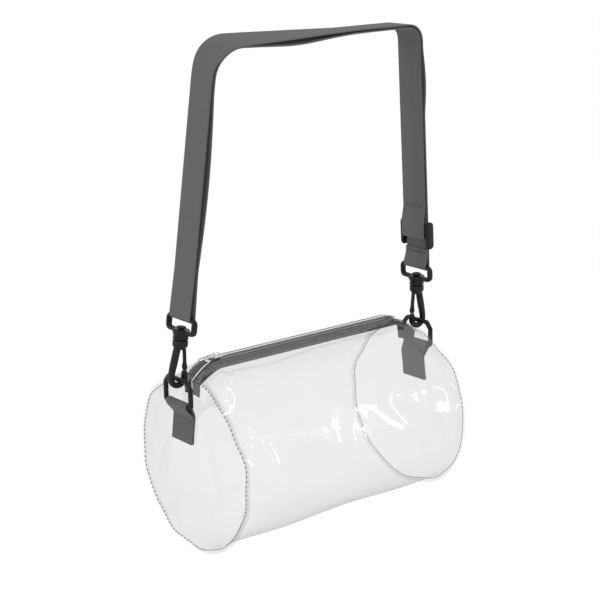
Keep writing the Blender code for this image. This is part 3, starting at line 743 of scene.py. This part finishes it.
def add_end_film(side, word):
    """An end panel: rings of points about its middle, out over the seam to the flange's rim."""
    turns = 144
    radii = [RADIUS * (k / 34) for k in range(1, 35)] + [RADIUS + FLANGE * k / 4 for k in range(1, 5)]
    rows = []
    for radius in radii:
        row = []
        for k in range(turns):
            t = 2 * math.pi * k / turns
            y, z = radius * math.sin(t), radius * math.cos(t)
            out = panel_out(y, z, side)
            near_seam = min(1.0, max(0.0, (radius / RADIUS - 0.8) / 0.2)) ** 2
            past = max(0.0, radius - RADIUS) / FLANGE
            puff = seam_puff(t, side) * near_seam
            grown = radius + (puff if radius <= RADIUS else min(puff, RADIUS + FLANGE - radius))
            out += seam_shift(t, side) * near_seam
            out += FLANGE_CURL * abs(math.sin(CURLS * t)) * past * past
            row.append(Vector((side * out, y * grown / radius, AXIS_Z + z * grown / radius)))
        rows.append(row)
    points = [Vector((side * panel_out(0, 0, side), 0, AXIS_Z))] + [p for row in rows for p in row]
    faces = [(0, 1 + k, 1 + (k + 1) % turns) for k in range(turns)]
    for r in range(len(rows) - 1):
        a, b = 1 + r * turns, 1 + (r + 1) * turns
        faces += [(a + k, b + k, b + (k + 1) % turns, a + (k + 1) % turns) for k in range(turns)]
    name = "film_end_" + word
    end = piece(name, mesh_of(name, points, faces), FILM, "bag", ("end_panel_" + word,))


def add_seam(side, word):
    """The stitches round an end, which wander with the seam."""
    path = []
    for k in range(240):
        t = 2 * math.pi * k / 240
        radius = RADIUS + 1.2 * MM + seam_puff(t, side)
        x = side * (HALF + 0.5 * MM + seam_shift(t, side))
        path.append(Vector((x, radius * math.sin(t), AXIS_Z + radius * math.cos(t))))
    name = "seam_stitches_" + word
    mesh = stitches(name, path, 3.0 * MM, 1.2 * MM, 0.8 * MM, Vector((side, 0, 0)), closed=True)
    piece(name, mesh, DARK_THREAD, "bag", ("seam_thread_" + word,))


# ----------------------------------------------------------------------- zip


def top_point(x, across, depth):
    """A point of the zip's strip, at a distance across from its middle and a depth under the film."""
    angle = across / (RADIUS + RIDGE_RISE)
    radius = body_radius(x, angle) - depth
    return Vector((x, radius * math.sin(angle), AXIS_Z + radius * math.cos(angle)))


ZIP_REACH = BODY_HALF - 0.4 * MM
TAPE_INNER = COIL_GAP / 2 + 0.25 * MM  # from the zip's middle to a tape's inner edge


def tape_mesh(side):
    """A strip along the zip, with a tail turned down at each end."""
    reach = ZIP_REACH
    inner = TAPE_INNER
    count, wide = 110, 8
    strips = []
    thick, turns = 0.45 * MM, 6
    tail = [(TAPE_TAIL * (turns - k) / turns, -reach) for k in range(turns)]
    places = tail + [(0.0, -reach + 2 * reach * r / count) for r in range(count + 1)]
    places += [(drop, -x) for drop, x in reversed(tail)]
    across = [inner + (TAPE_REACH - inner) * c / wide for c in range(wide + 1)]
    for inward in (0, thick):
        strips.append([])
        for drop, x in places:
            bend = math.copysign(inward if drop else 0.0, x)
            depth = TAPE_DEPTH + (drop or inward)
            strips[-1].append([top_point(x, side * a, depth) - Vector((bend, 0, 0)) for a in across])
    rows = [top + list(reversed(low)) for top, low in zip(*strips)]
    size = 2 * (wide + 1)
    uvs = []
    for drop, x in places:
        run = x - math.copysign(drop, -x)
        uvs += [(u, run) for u in across + list(reversed(across))]

    def close_ends(work):
        work.verts.ensure_lookup_table()
        for start in (0, (len(rows) - 1) * size):
            work.faces.new([work.verts[start + k] for k in range(size)])
        faced_out(work)

    return reworked(grid("tape", rows, wrap=True, uvs=uvs), close_ends)


def add_zip(side, word):
    """One side of the zip: its tape, its coil and two rows of stitches."""
    tape = piece("zip_tape_" + word, tape_mesh(side), TAPE, "bag", ("zipper_tape_" + word,))
    add_coil(side, word)
    line = SLOT / 2 + 2.5 * MM
    for k, offset in enumerate((line, line + 3.2 * MM)):
        path = [top_point(ZIP_REACH * (r / 100 - 1), side * offset, -0.35 * MM) for r in range(201)]
        name = "zip_stitches_" + word + ("" if k == 0 else "_outer")
        mesh = stitches(name, path, 2.6 * MM, 0.9 * MM, 0.5 * MM, Vector((0, 0, 1)))
        stands = ("zipper_stitch_" + word,) if k == 0 else ()
        piece(name, mesh, DARK_THREAD, "bag", stands)


def add_coil(side, word):
    """Each coil's turns, wound round a cord that runs beside the zip's middle."""
    pitch = 1.25 * MM
    start, end = COIL_LOW[0] + 0.6 * MM, COIL_HIGH[0] - 0.6 * MM
    turns = int((end - start) / pitch)
    steps = 12
    wire = 0.32 * MM
    middle = COIL_GAP / 2 + COIL_WIDTH / 2 - 0.35 * MM
    path = []
    for k in range(turns * steps + 1):
        x = start + pitch * k / steps
        t = 2 * math.pi * k / steps + (math.pi if side > 0 else 0)
        y = side * (middle - math.cos(t) * COIL_WIDTH / 2)
        base = AXIS_Z + body_radius(x, 0) - TAPE_DEPTH + CLEAR
        path.append(Vector((x, y, base + COIL_HEIGHT / 2 + math.sin(t) * (COIL_HEIGHT / 2 - wire))))
    mesh = swept("zip_coil_" + word, path, ellipse(2 * wire, 2 * wire, 6, 2), AXIS_X)
    piece("zip_coil_" + word, mesh, COIL, "bag", ("zipper_coil_" + word,), 80)


def slab(name, low, high, bevel):
    """A box with rounded edges."""
    work = bmesh.new()
    bmesh.ops.create_cube(work, size=1)
    for v in work.verts:
        v.co = Vector([(lo + hi) / 2 + c * (hi - lo) for lo, hi, c in zip(low, high, v.co)])
    bmesh.ops.bevel(work, geom=work.edges[:], offset=bevel, segments=3, affect="EDGES", profile=0.6)
    mesh = bpy.data.meshes.new(name)
    work.to_mesh(mesh)
    work.free()
    return mesh


def add_slider():
    """A slider with waisted plates, a post and an arched bridge."""
    x0, x1 = SLIDER_LOW[0], SLIDER_HIGH[0]
    middle = (x0 + x1) / 2
    half = SLIDER_HIGH[1]
    low = SLIDER_LOW[2]
    pull = joint_point("pull_swing")
    top = pull.z - 1.6 * MM - SLIDER_PLATE
    rim = 0.25 * MM
    plates = []
    outline = []
    steps = 24
    for k in range(steps):
        t = 2 * math.pi * k / steps
        c, s = math.cos(t), math.sin(t)
        waist = 0.80 + 0.20 * (0.5 + 0.5 * math.cos(2 * (t - 0.25)))
        x = middle + math.copysign(abs(c) ** 0.6, c) * (x1 - x0) / 2
        outline.append((x, math.copysign(abs(s) ** 0.6, s) * half * waist))
    for floor in (top, low):
        ceiling = floor + SLIDER_PLATE
        points, faces = [], []
        for z, grow in ((floor, 0.93), (floor + rim, 1.0), (ceiling - rim, 1.0), (ceiling, 0.93)):
            points += [Vector((middle + (x - middle) * grow, y * grow, z)) for x, y in outline]
        for r in range(3):
            faces += band(r * steps, (r + 1) * steps, steps)
        faces += [tuple(range(steps)), tuple(range(3 * steps, 4 * steps))]
        plates.append(mesh_of("plate", points, faces))
    post = slab("post", (x0 + 3 * MM, -0.4 * MM, low), (x1 - 3 * MM, 0.4 * MM, top + 0.5 * MM), 0.15 * MM)
    foot = (top + 0.9 * MM - pull.z) / MM
    arch = ((-2.6, foot), (-2.2, 0.6), (-1.2, 1.5), (1.2, 1.7), (3.2, 1.4), (4.6, 0.2), (5.4, foot))
    bridge_path = xz([(pull.x + x * MM, pull.z + z * MM) for x, z in arch])
    bridge_line = softened(even(bridge_path, 0.5 * MM), 3)
    bridge = swept("bridge", bridge_line, ellipse(0.8 * MM, 2.3 * MM, 12, 3), AXIS_Y)
    mesh = joined("slider", [*plates, post, bridge])
    piece("slider", mesh, METAL, "slider", ("zipper_slider",), 50)


def add_pull():
    """The wire loop that hangs from the slider."""
    pivot = joint_point("pull_swing")
    low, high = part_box("zipper_pull")
    wire = 0.8 * MM
    droop = math.asin(min(1.0, (pivot.z - low[2] - wire) / (16.2 * MM)))
    half = high[1] - wire
    end, narrow = -17 * MM, half * 0.82
    outline = rounded([(0, -half), (0, half), (end, narrow), (end, -narrow)], 1.6 * MM)
    tilt = Matrix.Rotation(-droop, 3, "Y")
    path = [pivot + tilt @ Vector((p.x, p.y, 0)) for p in outline]
    mesh = swept("pull", path, ellipse(1.5 * MM, 1.5 * MM, 14, 2.3), tilt @ Vector((0, 0, 1)), closed=True)
    piece("pull", mesh, METAL, "pull", ("zipper_pull",))


def add_stops():
    """The two stops past the coils' ends."""
    for _, word in SIDES:
        low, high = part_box("zipper_stop_" + word)
        mesh = slab("stop_" + word, low, high, 0.4 * MM)
        piece("stop_" + word, mesh, METAL, "bag", ("zipper_stop_" + word,))


# ---------------------------------------------------------- tabs and D-rings


def tab_face(height):
    """How far out an end panel's middle line stands at a height above the axis."""
    return HALF + DOME * (1 - (height / RADIUS) ** 2)


def add_tab(side, word):
    """A tab folded round its ring, with a box and a cross of stitches."""
    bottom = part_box("tab_" + word)[0][2] - AXIS_Z
    ring = joint_point(word + "_ring_tilt")
    center = (abs(ring.x), ring.z - AXIS_Z)
    bend = 49 * MM
    face = CLEAR + WEB / 2
    second = WEB + CLEAR
    wrap = RING_BAR / 2 + CLEAR + WEB / 2
    path = [(tab_face(bottom) + face, bottom), (tab_face(bottom + 12 * MM) + face, bottom + 12 * MM)]
    path += [(tab_face(bend) + face, bend), *arc(center, wrap, 150, -40, 14)]
    path += [(tab_face(bend) + face + second, bend - 1.5 * MM)]
    path += [(tab_face(bottom) + face + second, bottom)]
    line = softened(even([Vector((side * x, 0, AXIS_Z + z)) for x, z in path], 1.2 * MM), 3)
    mesh = swept("tab_webbing_" + word, line, web_section(), AXIS_Y)
    tab = piece("tab_webbing_" + word, mesh, TAB_WEBBING, "bag", ("tab_" + word,))
    z0, z1 = bottom + 3 * MM, bend - 5 * MM
    half = WEB_WIDTH / 2 - 3.5 * MM
    away = face + second + WEB / 2 + 0.1 * MM

    def spot(y, z):
        share = (z - bottom) / (bend - bottom)
        x = tab_face(bottom) + (tab_face(bend) - tab_face(bottom)) * share
        return Vector((side * (x + away), y, AXIS_Z + z))

    corners = [spot(y, z) for y, z in ((-half, z0), (half, z0), (half, z1), (-half, z1))]
    out = Vector((side, 0, 0))
    sewn = (2.4 * MM, 0.7 * MM, 0.6 * MM, out)
    rows = [stitches("row", corners, *sewn, closed=True)]
    rows += [stitches("row", [corners[a], corners[b]], *sewn) for a, b in ((0, 2), (1, 3))]
    mesh = joined("tab_stitches_" + word, rows)
    piece("tab_stitches_" + word, mesh, GREY_THREAD, "bag", ("tab_stitch_" + word,))


def add_ring(word):
    """A closed rod with its upper corners cut off."""
    low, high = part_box("d_ring_" + word)
    half = high[1] - RING_BAR / 2
    bottom, top = low[2] + RING_BAR / 2, high[2] - RING_BAR / 2
    x = (low[0] + high[0]) / 2
    narrow = half * 27 / 37
    shoulder = top - RING_SHOULDER
    corners = [(-half, bottom), (half, bottom), (half, shoulder)]
    corners += [(narrow, top), (-narrow, top), (-half, shoulder)]
    path = even([Vector((x, p.x, p.y)) for p in rounded(corners, RING_CORNER)], 0.9 * MM, closed=True)
    section = ellipse(RING_ROD, RING_ROD, 20, 2.6)
    mesh = swept("ring_" + word, path, section, AXIS_X, closed=True)
    piece("ring_" + word, mesh, PLASTIC, word + "_ring", ("d_ring_" + word,), 60)


# ---------------------------------------------------------------- snap hooks


def hook_place(word):
    """From a hook's own frame, whose z runs up from the bowl's wire, to the world's."""
    axis = Vector(JOINTS[word + "_hook_swivel"]["axis"])
    turn = Matrix.Rotation(math.atan2(axis.x, axis.z), 4, "Y")
    return Matrix.Translation(joint_point(word + "_hook_swivel")) @ turn


def add_hook(side, word):
    """A hook's bowl and spine, its head, and the stem and button that turn in the eye."""
    place = hook_place(word)
    flat = place.to_3x3()
    wire = [(2.2 * MM, HEAD_LOW + 2 * MM), (BOWL_RADIUS, BOWL_RADIUS + 2 * MM)]
    wire += arc((0, BOWL_RADIUS), BOWL_RADIUS, 0, -180, 16)
    nose = ((0.2 * MM, 3 * MM), (0.6 * MM, 5.6 * MM))
    wire += [(-BOWL_RADIUS + x, BOWL_RADIUS + z) for x, z in nose]
    line = softened(even(xz([(side * x, z) for x, z in wire]), 0.9 * MM), 3)
    count = len(line)
    scales = []
    for k in range(count):
        t = k / (count - 1)
        spine = 1.0 - min(1.0, max(0.0, (t - 0.3) / 0.2))
        taper = 1.0 if t < 0.95 else 1.0 - 0.25 * (t - 0.95) / 0.05
        scales.append(((1.0 + 0.17 * spine) * taper, (1.0 + 0.10 * spine) * taper))
    path = [place @ p for p in line]
    section = ellipse(HOOK_ROD, HOOK_ROD, 24, 2.6)
    wire_mesh = swept("wire", path, section, flat @ AXIS_Y, scales=scales)
    high = HEAD_LOW + HEAD_HEIGHT
    parts = [wire_mesh]
    parts.append(turned("head", round_slab(0, HEAD_RADIUS, HEAD_LOW, high, 1.6 * MM), place))
    neck = round_slab(0, HEAD_RADIUS - 1.6 * MM, HEAD_LOW - 2.0 * MM, HEAD_LOW + 1 * MM, 1.4 * MM)
    parts.append(turned("neck", neck, place))
    button_low = BOSS_TOP + 0.5 * MM
    stem = round_slab(0, 2.2 * MM, high - 0.5 * MM, button_low + 0.5 * MM, 0.2 * MM)
    parts.append(turned("stem", stem, place, 24))
    parts.append(turned("button", button_profile(button_low), place, 36))
    mesh = joined("snap_hook_" + word, parts)
    piece("snap_hook_" + word, mesh, PLASTIC, word + "_hook", ("hook_" + word,), 50)


def button_profile(low):
    """The riveted top of a hook's stem: a low dome with a dimple."""
    rim = round_slab(0, 4.2 * MM, low, low + 2 * MM, 0.9 * MM)
    return [*rim[:-1], (2.4 * MM, low + 2 * MM), (1.5 * MM, low + 1.5 * MM), (0, low + 1.3 * MM)]


def add_gate(side, word):
    """The gate runs from its root and carries a ribbed thumb nub by its tip."""
    place = hook_place(word)
    flat = place.to_3x3()
    root = (-BOWL_RADIUS + 2.6 * MM, HEAD_LOW - 0.5 * MM)
    tip = (-BOWL_RADIUS + 0.3 * MM, BOWL_RADIUS + 6.5 * MM)
    middle = ((root[0] + tip[0]) / 2 - 0.2 * MM, (root[1] + tip[1]) / 2)
    line = softened(even(xz([(side * x, z) for x, z in (root, middle, tip)]), 0.8 * MM), 3)
    count = len(line)
    scales = []
    for k in range(count):
        t = k / (count - 1)
        nub = math.exp(-(((t - 0.86) / 0.12) ** 2))
        rib = 0.05 * math.sin(t * 60) if t > 0.72 else 0.0
        scales.append((0.85 + 0.55 * nub + rib, 1.15 + 0.25 * nub))
    path = [place @ p for p in line]
    name = "snap_gate_" + word
    section = ellipse(GATE_ROD, GATE_ROD, 18, 2.8)
    mesh = swept(name, path, section, flat @ AXIS_Y, scales=scales)
    piece(name, mesh, PLASTIC, word + "_gate", ("gate_" + word,), 60)


def boss_profile():
    """The eye's boss widens upwards and has a bead round its lower rim."""
    bead = 0.8 * MM
    lower = [(2.5 * MM, BOSS_LOW), (BOSS_RADIUS - 0.6 * MM, BOSS_LOW), (BOSS_RADIUS, BOSS_LOW + 0.6 * MM)]
    lower += [(BOSS_RADIUS, BOSS_LOW + 2 * bead), (BOSS_RADIUS - 0.5 * MM, BOSS_LOW + 2.6 * bead)]
    upper = [(BOSS_TOP_RADIUS - 0.4 * MM, BOSS_TOP - 2.4 * MM), (BOSS_TOP_RADIUS, BOSS_TOP - 1.4 * MM)]
    upper += [(BOSS_TOP_RADIUS - 0.3 * MM, BOSS_TOP - 0.5 * MM), (BOSS_TOP_RADIUS - 1.2 * MM, BOSS_TOP)]
    sunk = BOSS_TOP - 0.2 * MM
    return lower + upper + [(4.8 * MM, BOSS_TOP), (4.4 * MM, sunk), (2.5 * MM, sunk)]


def add_eye(word):
    """A rectangular eye on a boss, joined by a plate that widens upwards."""
    place = hook_place(word)
    flat = place.to_3x3()
    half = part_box("swivel_eye_" + word)[1][1] - EYE_BAR / 2
    top = (place.inverted() @ joint_point(word + "_eye_tilt")).z
    bottom = top - 11.8 * MM
    outline = rounded([(-half, bottom), (half, bottom), (half, top), (-half, top)], 3.2 * MM)
    line = even([Vector((0, p.x, p.y)) for p in outline], 1.0 * MM, closed=True)
    path = [place @ p for p in line]
    scales = [(1.0, 1.0 + 0.35 * min(1.0, (top - p.z) / (3 * MM))) for p in line]
    section = ellipse(EYE_BAR, EYE_BAR, 20, 2.8)
    ring = swept("eye", path, section, flat @ AXIS_X, closed=True, scales=scales)
    boss = turned("boss", boss_profile(), place)
    half_plate = [(BOSS_RADIUS, BOSS_LOW + 1.2 * MM), (12 * MM, BOSS_TOP - 0.4 * MM)]
    outline = rounded(half_plate + [(-y, z) for y, z in reversed(half_plate)], 0.8 * MM, 3)
    plate = prism("plate", outline, -2.4 * MM, 2.4 * MM, 0.7 * MM, lambda a, b, t: place @ Vector((t, a, b)))
    mesh = joined("eye_" + word, [ring, boss, plate])
    piece("eye_" + word, mesh, PLASTIC, word + "_eye", ("swivel_eye_" + word,), 50)


# --------------------------------------------------------------------- strap


class Leg:
    """A straight leg of the strap, from its eye's upper bar to the top run."""

    def __init__(self, side, word):
        bar = joint_point(word + "_eye_tilt")
        self.side = side
        self.bar = (bar.x, bar.z)
        self.slope = SLOPES[word]
        self.angle = math.degrees(math.atan(self.slope))
        self.corner = CORNERS[word]

    def at(self, height, out=0.0):
        inwards = self.slope * (height - self.bar[1])
        return (self.bar[0] + self.side * (out - inwards), height)


def corner_arc(leg, layer_z, out, radius, steps=12):
    """The bend from a leg into the top run."""
    turn = math.radians(90 - leg.angle)
    foot = leg.at(layer_z, out)
    center = (foot[0] - leg.side * radius * math.tan(turn / 2), layer_z - radius)
    return arc(center, radius, leg.angle if leg.side > 0 else 180 - leg.angle, 90, steps)


LEFT = Leg(-1, "left")
RIGHT = Leg(1, "right")
TWIST_OUTER = math.radians(20)
TWIST_INNER = math.radians(8)
TWIST_FROM = -95 * MM
TWIST_TO = 50 * MM
TOP_SAG = 3.2 * MM
LEFT_TOP_GAP = 3.2 * MM
RIGHT_TOP_GAP = 2.3 * MM
LEFT_BOW = 3 * MM
RIGHT_BOW = 2.2 * MM


def bowed(leg, low, high, out, bow):
    """Points up a leg whose layer swells away from the other one halfway."""
    return [leg.at(low + (high - low) * k / 8, out + bow * math.sin(math.pi * k / 8)) for k in range(9)]


def twist(x, z, most):
    """The webbing's tilt about its own length along the top, near edge down."""
    on_top = min(1.0, max(0.0, (z - (TOP_RUN - 30 * MM)) / (24 * MM)))
    share = min(1.0, max(0.0, (TWIST_TO - x) / (TWIST_TO - TWIST_FROM)))
    return most * share * on_top * on_top * (3 - 2 * on_top)


def strap_line():
    """The strap's middle line from its sewn tail, over the top, round the left eye and back."""
    tack = GLIDE_LOW[2] - 0.7 * MM
    apart = WEB + CLEAR
    outer = [RIGHT.at(tack, WRAP - apart), RIGHT.at(tack - 6 * MM, WRAP - apart)]
    outer += arc(RIGHT.bar, WRAP, 180 - RIGHT.angle, 360 + RIGHT.angle, 14)
    outer += bowed(RIGHT, RUN_TOP - 60 * MM, TOP_RUN - 24 * MM, WRAP, RIGHT_BOW)
    outer += corner_arc(RIGHT, TOP_RUN, WRAP, RIGHT.corner)
    outer += reversed(corner_arc(LEFT, TOP_RUN, LEG_LAYER_GAP / 2, LEFT.corner))
    outer += [LEFT.at(LEFT.bar[1] + 40 * MM, LEG_LAYER_GAP / 2)]
    outer += arc(LEFT.bar, WRAP, 180 - LEFT.angle, 360 + LEFT.angle, 14)
    inner_top = TOP_RUN - LEFT_TOP_GAP
    inner = bowed(LEFT, LEFT.bar[1] + 40 * MM, TOP_RUN - 42 * MM, -LEG_LAYER_GAP / 2, -LEFT_BOW)
    inner += corner_arc(LEFT, inner_top, -LEG_LAYER_GAP / 2, LEFT.corner - LEG_LAYER_GAP)
    lid = WRAP - LEG_LAYER_GAP
    last = corner_arc(RIGHT, TOP_RUN - RIGHT_TOP_GAP, lid, RIGHT.corner - RIGHT_TOP_GAP)
    start, stop = inner[-1], last[-1]
    for k in range(1, 24):
        t = k / 24
        x = start[0] + (stop[0] - start[0]) * t
        drop = TOP_SAG * math.exp(-(((x + 15 * MM) / (38 * MM)) ** 2))
        ease = min(1.0, max(0.0, (t - 0.35) / 0.5))
        rise = (stop[1] - start[1]) * ease * ease * (3 - 2 * ease)
        inner.append((x, start[1] + rise - drop))
    inner += reversed(last)
    inner += [RIGHT.at(RUN_TOP, lid)]
    return xz(outer), xz(inner)


def width_axis(path, split):
    """The direction across the webbing at each point, tilted along the top."""
    out = []
    for k, p in enumerate(path):
        t = twist(p.x, p.z, TWIST_OUTER if k < split else TWIST_INNER)
        out.append(Vector((0, math.cos(t), math.sin(t))))
    return out


def add_strap():
    """The long webbing and the run that shortens as the tri-glide rises."""
    outer, inner = strap_line()
    split = round(length_of(outer) / (2 * MM))
    line = softened(even(outer + inner, 2.0 * MM), 3)
    mesh = swept("strap_long", line, web_section(), width_axis(line, split))
    strap = piece("strap_long", mesh, WEBBING, "strap", ("strap_webbing",))
    lid = WRAP - LEG_LAYER_GAP
    run = even(xz([RIGHT.at(RUN_TOP, lid), RIGHT.at(LOOP_TOP, lid)]), 2 * MM)
    mesh = swept("strap_run", run, web_section(), AXIS_Y)
    short = piece("strap_run", mesh, WEBBING, "strap", ("strap_adjusting_run",))
    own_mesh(short)
    add_loop(lid)


def add_loop(lid):
    """The strap's other end, sewn round the tri-glide's middle bar."""
    second = WRAP - WEB - CLEAR
    bar = second - WEB / 2 - CLEAR - GLIDE_DEPTH / 2
    wrap = GLIDE_DEPTH / 2 + CLEAR + WEB / 2
    first = bar - wrap
    center = RIGHT.at(GLIDE_MID, bar)
    path = [RIGHT.at(LOOP_TOP, lid), RIGHT.at(LOOP_TOP - 6 * MM, lid)]
    path += [RIGHT.at(GLIDE_MID + 12 * MM, first), RIGHT.at(GLIDE_MID + 2 * MM, first)]
    path += arc((center[0], GLIDE_MID - 1.5 * MM), wrap, 180, 360, 12)
    path += [RIGHT.at(GLIDE_MID + 2 * MM, bar + wrap), RIGHT.at(GLIDE_MID + 14 * MM, bar + wrap)]
    line = softened(even(xz(path), 1.0 * MM), 3)
    mesh = swept("strap_loop", line, web_section(), AXIS_Y)
    loop = piece("strap_loop", mesh, WEBBING, "glide", ("strap_sewn_loop",))
    add_tack("tack_loop", "strap_tack_loop", "glide")
    add_tack("tack_tail", "strap_tack_tail", "strap")


def add_tack(name, node, body):
    """A bar tack: close zigzag stitches across the webbing."""
    low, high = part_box(node)
    x = low[0] + 0.3 * MM
    middle = (low[2] + high[2]) / 2
    count = 34
    path = []
    for k in range(count + 1):
        y = low[1] + (high[1] - low[1]) * k / count
        path.append(Vector((x, y, middle + (0.9 * MM if k % 2 else -0.9 * MM))))
    mesh = swept(name, path, ellipse(0.5 * MM, 0.5 * MM, 8, 2), Vector((-1, 0, 0)))
    piece(name, mesh, GREY_THREAD, body, (node,), 70)


def add_glide():
    """Three bars between two sides, all with moulded edges."""
    turn = Matrix.Rotation(math.atan2(GLIDE_AXIS.x, GLIDE_AXIS.z), 4, "Y")
    home = RIGHT.at(GLIDE_MID)
    place = Matrix.Translation((home[0], 0, home[1])) @ turn
    second = WRAP - WEB - CLEAR
    bar = second - WEB / 2 - CLEAR - GLIDE_DEPTH / 2
    outer = WRAP + WEB / 2 + CLEAR + GLIDE_DEPTH / 2
    reach = GLIDE_HIGH[1]
    rise = 13 * MM
    rod = 2 * MM
    half = reach - 3 * MM
    parts = []

    def bar_part(depth, height):
        low = (depth - GLIDE_DEPTH / 2, -reach + 1 * MM, height - rod)
        high = (depth + GLIDE_DEPTH / 2, reach - 1 * MM, height + rod)
        parts.append(slab("bar", low, high, 0.8 * MM))

    inside, outside = bar - GLIDE_DEPTH / 2, outer + GLIDE_DEPTH / 2
    corners = [(inside, -rise), (outside, -rise), (outside, rise), (inside, rise)]
    for y0, y1 in ((-reach, -half), (half, reach)):
        outline = rounded(corners, 3.6 * MM, 10)
        parts.append(prism("side", outline, y0, y1, 0.9 * MM, lambda a, b, t: Vector((a, t, b))))
    edge = rise - 4.2 * MM
    bar_part(bar, 0)
    bar_part(outer, edge)
    bar_part(outer, -edge)
    mesh = joined("glide", parts)
    mesh.transform(place)
    piece("glide", mesh, PLASTIC, "glide", ("tri_glide",), 60)


add_camera()
add_stage()
add_film_body()
for side, word in SIDES:
    add_end_film(side, word)
    add_seam(side, word)
    add_tab(side, word)
    add_ring(word)
    add_hook(side, word)
    add_gate(side, word)
    add_eye(word)
for side, word in ((-1, "front"), (1, "back")):
    add_zip(side, word)
add_slider()
add_pull()
add_stops()
add_strap()
add_glide()
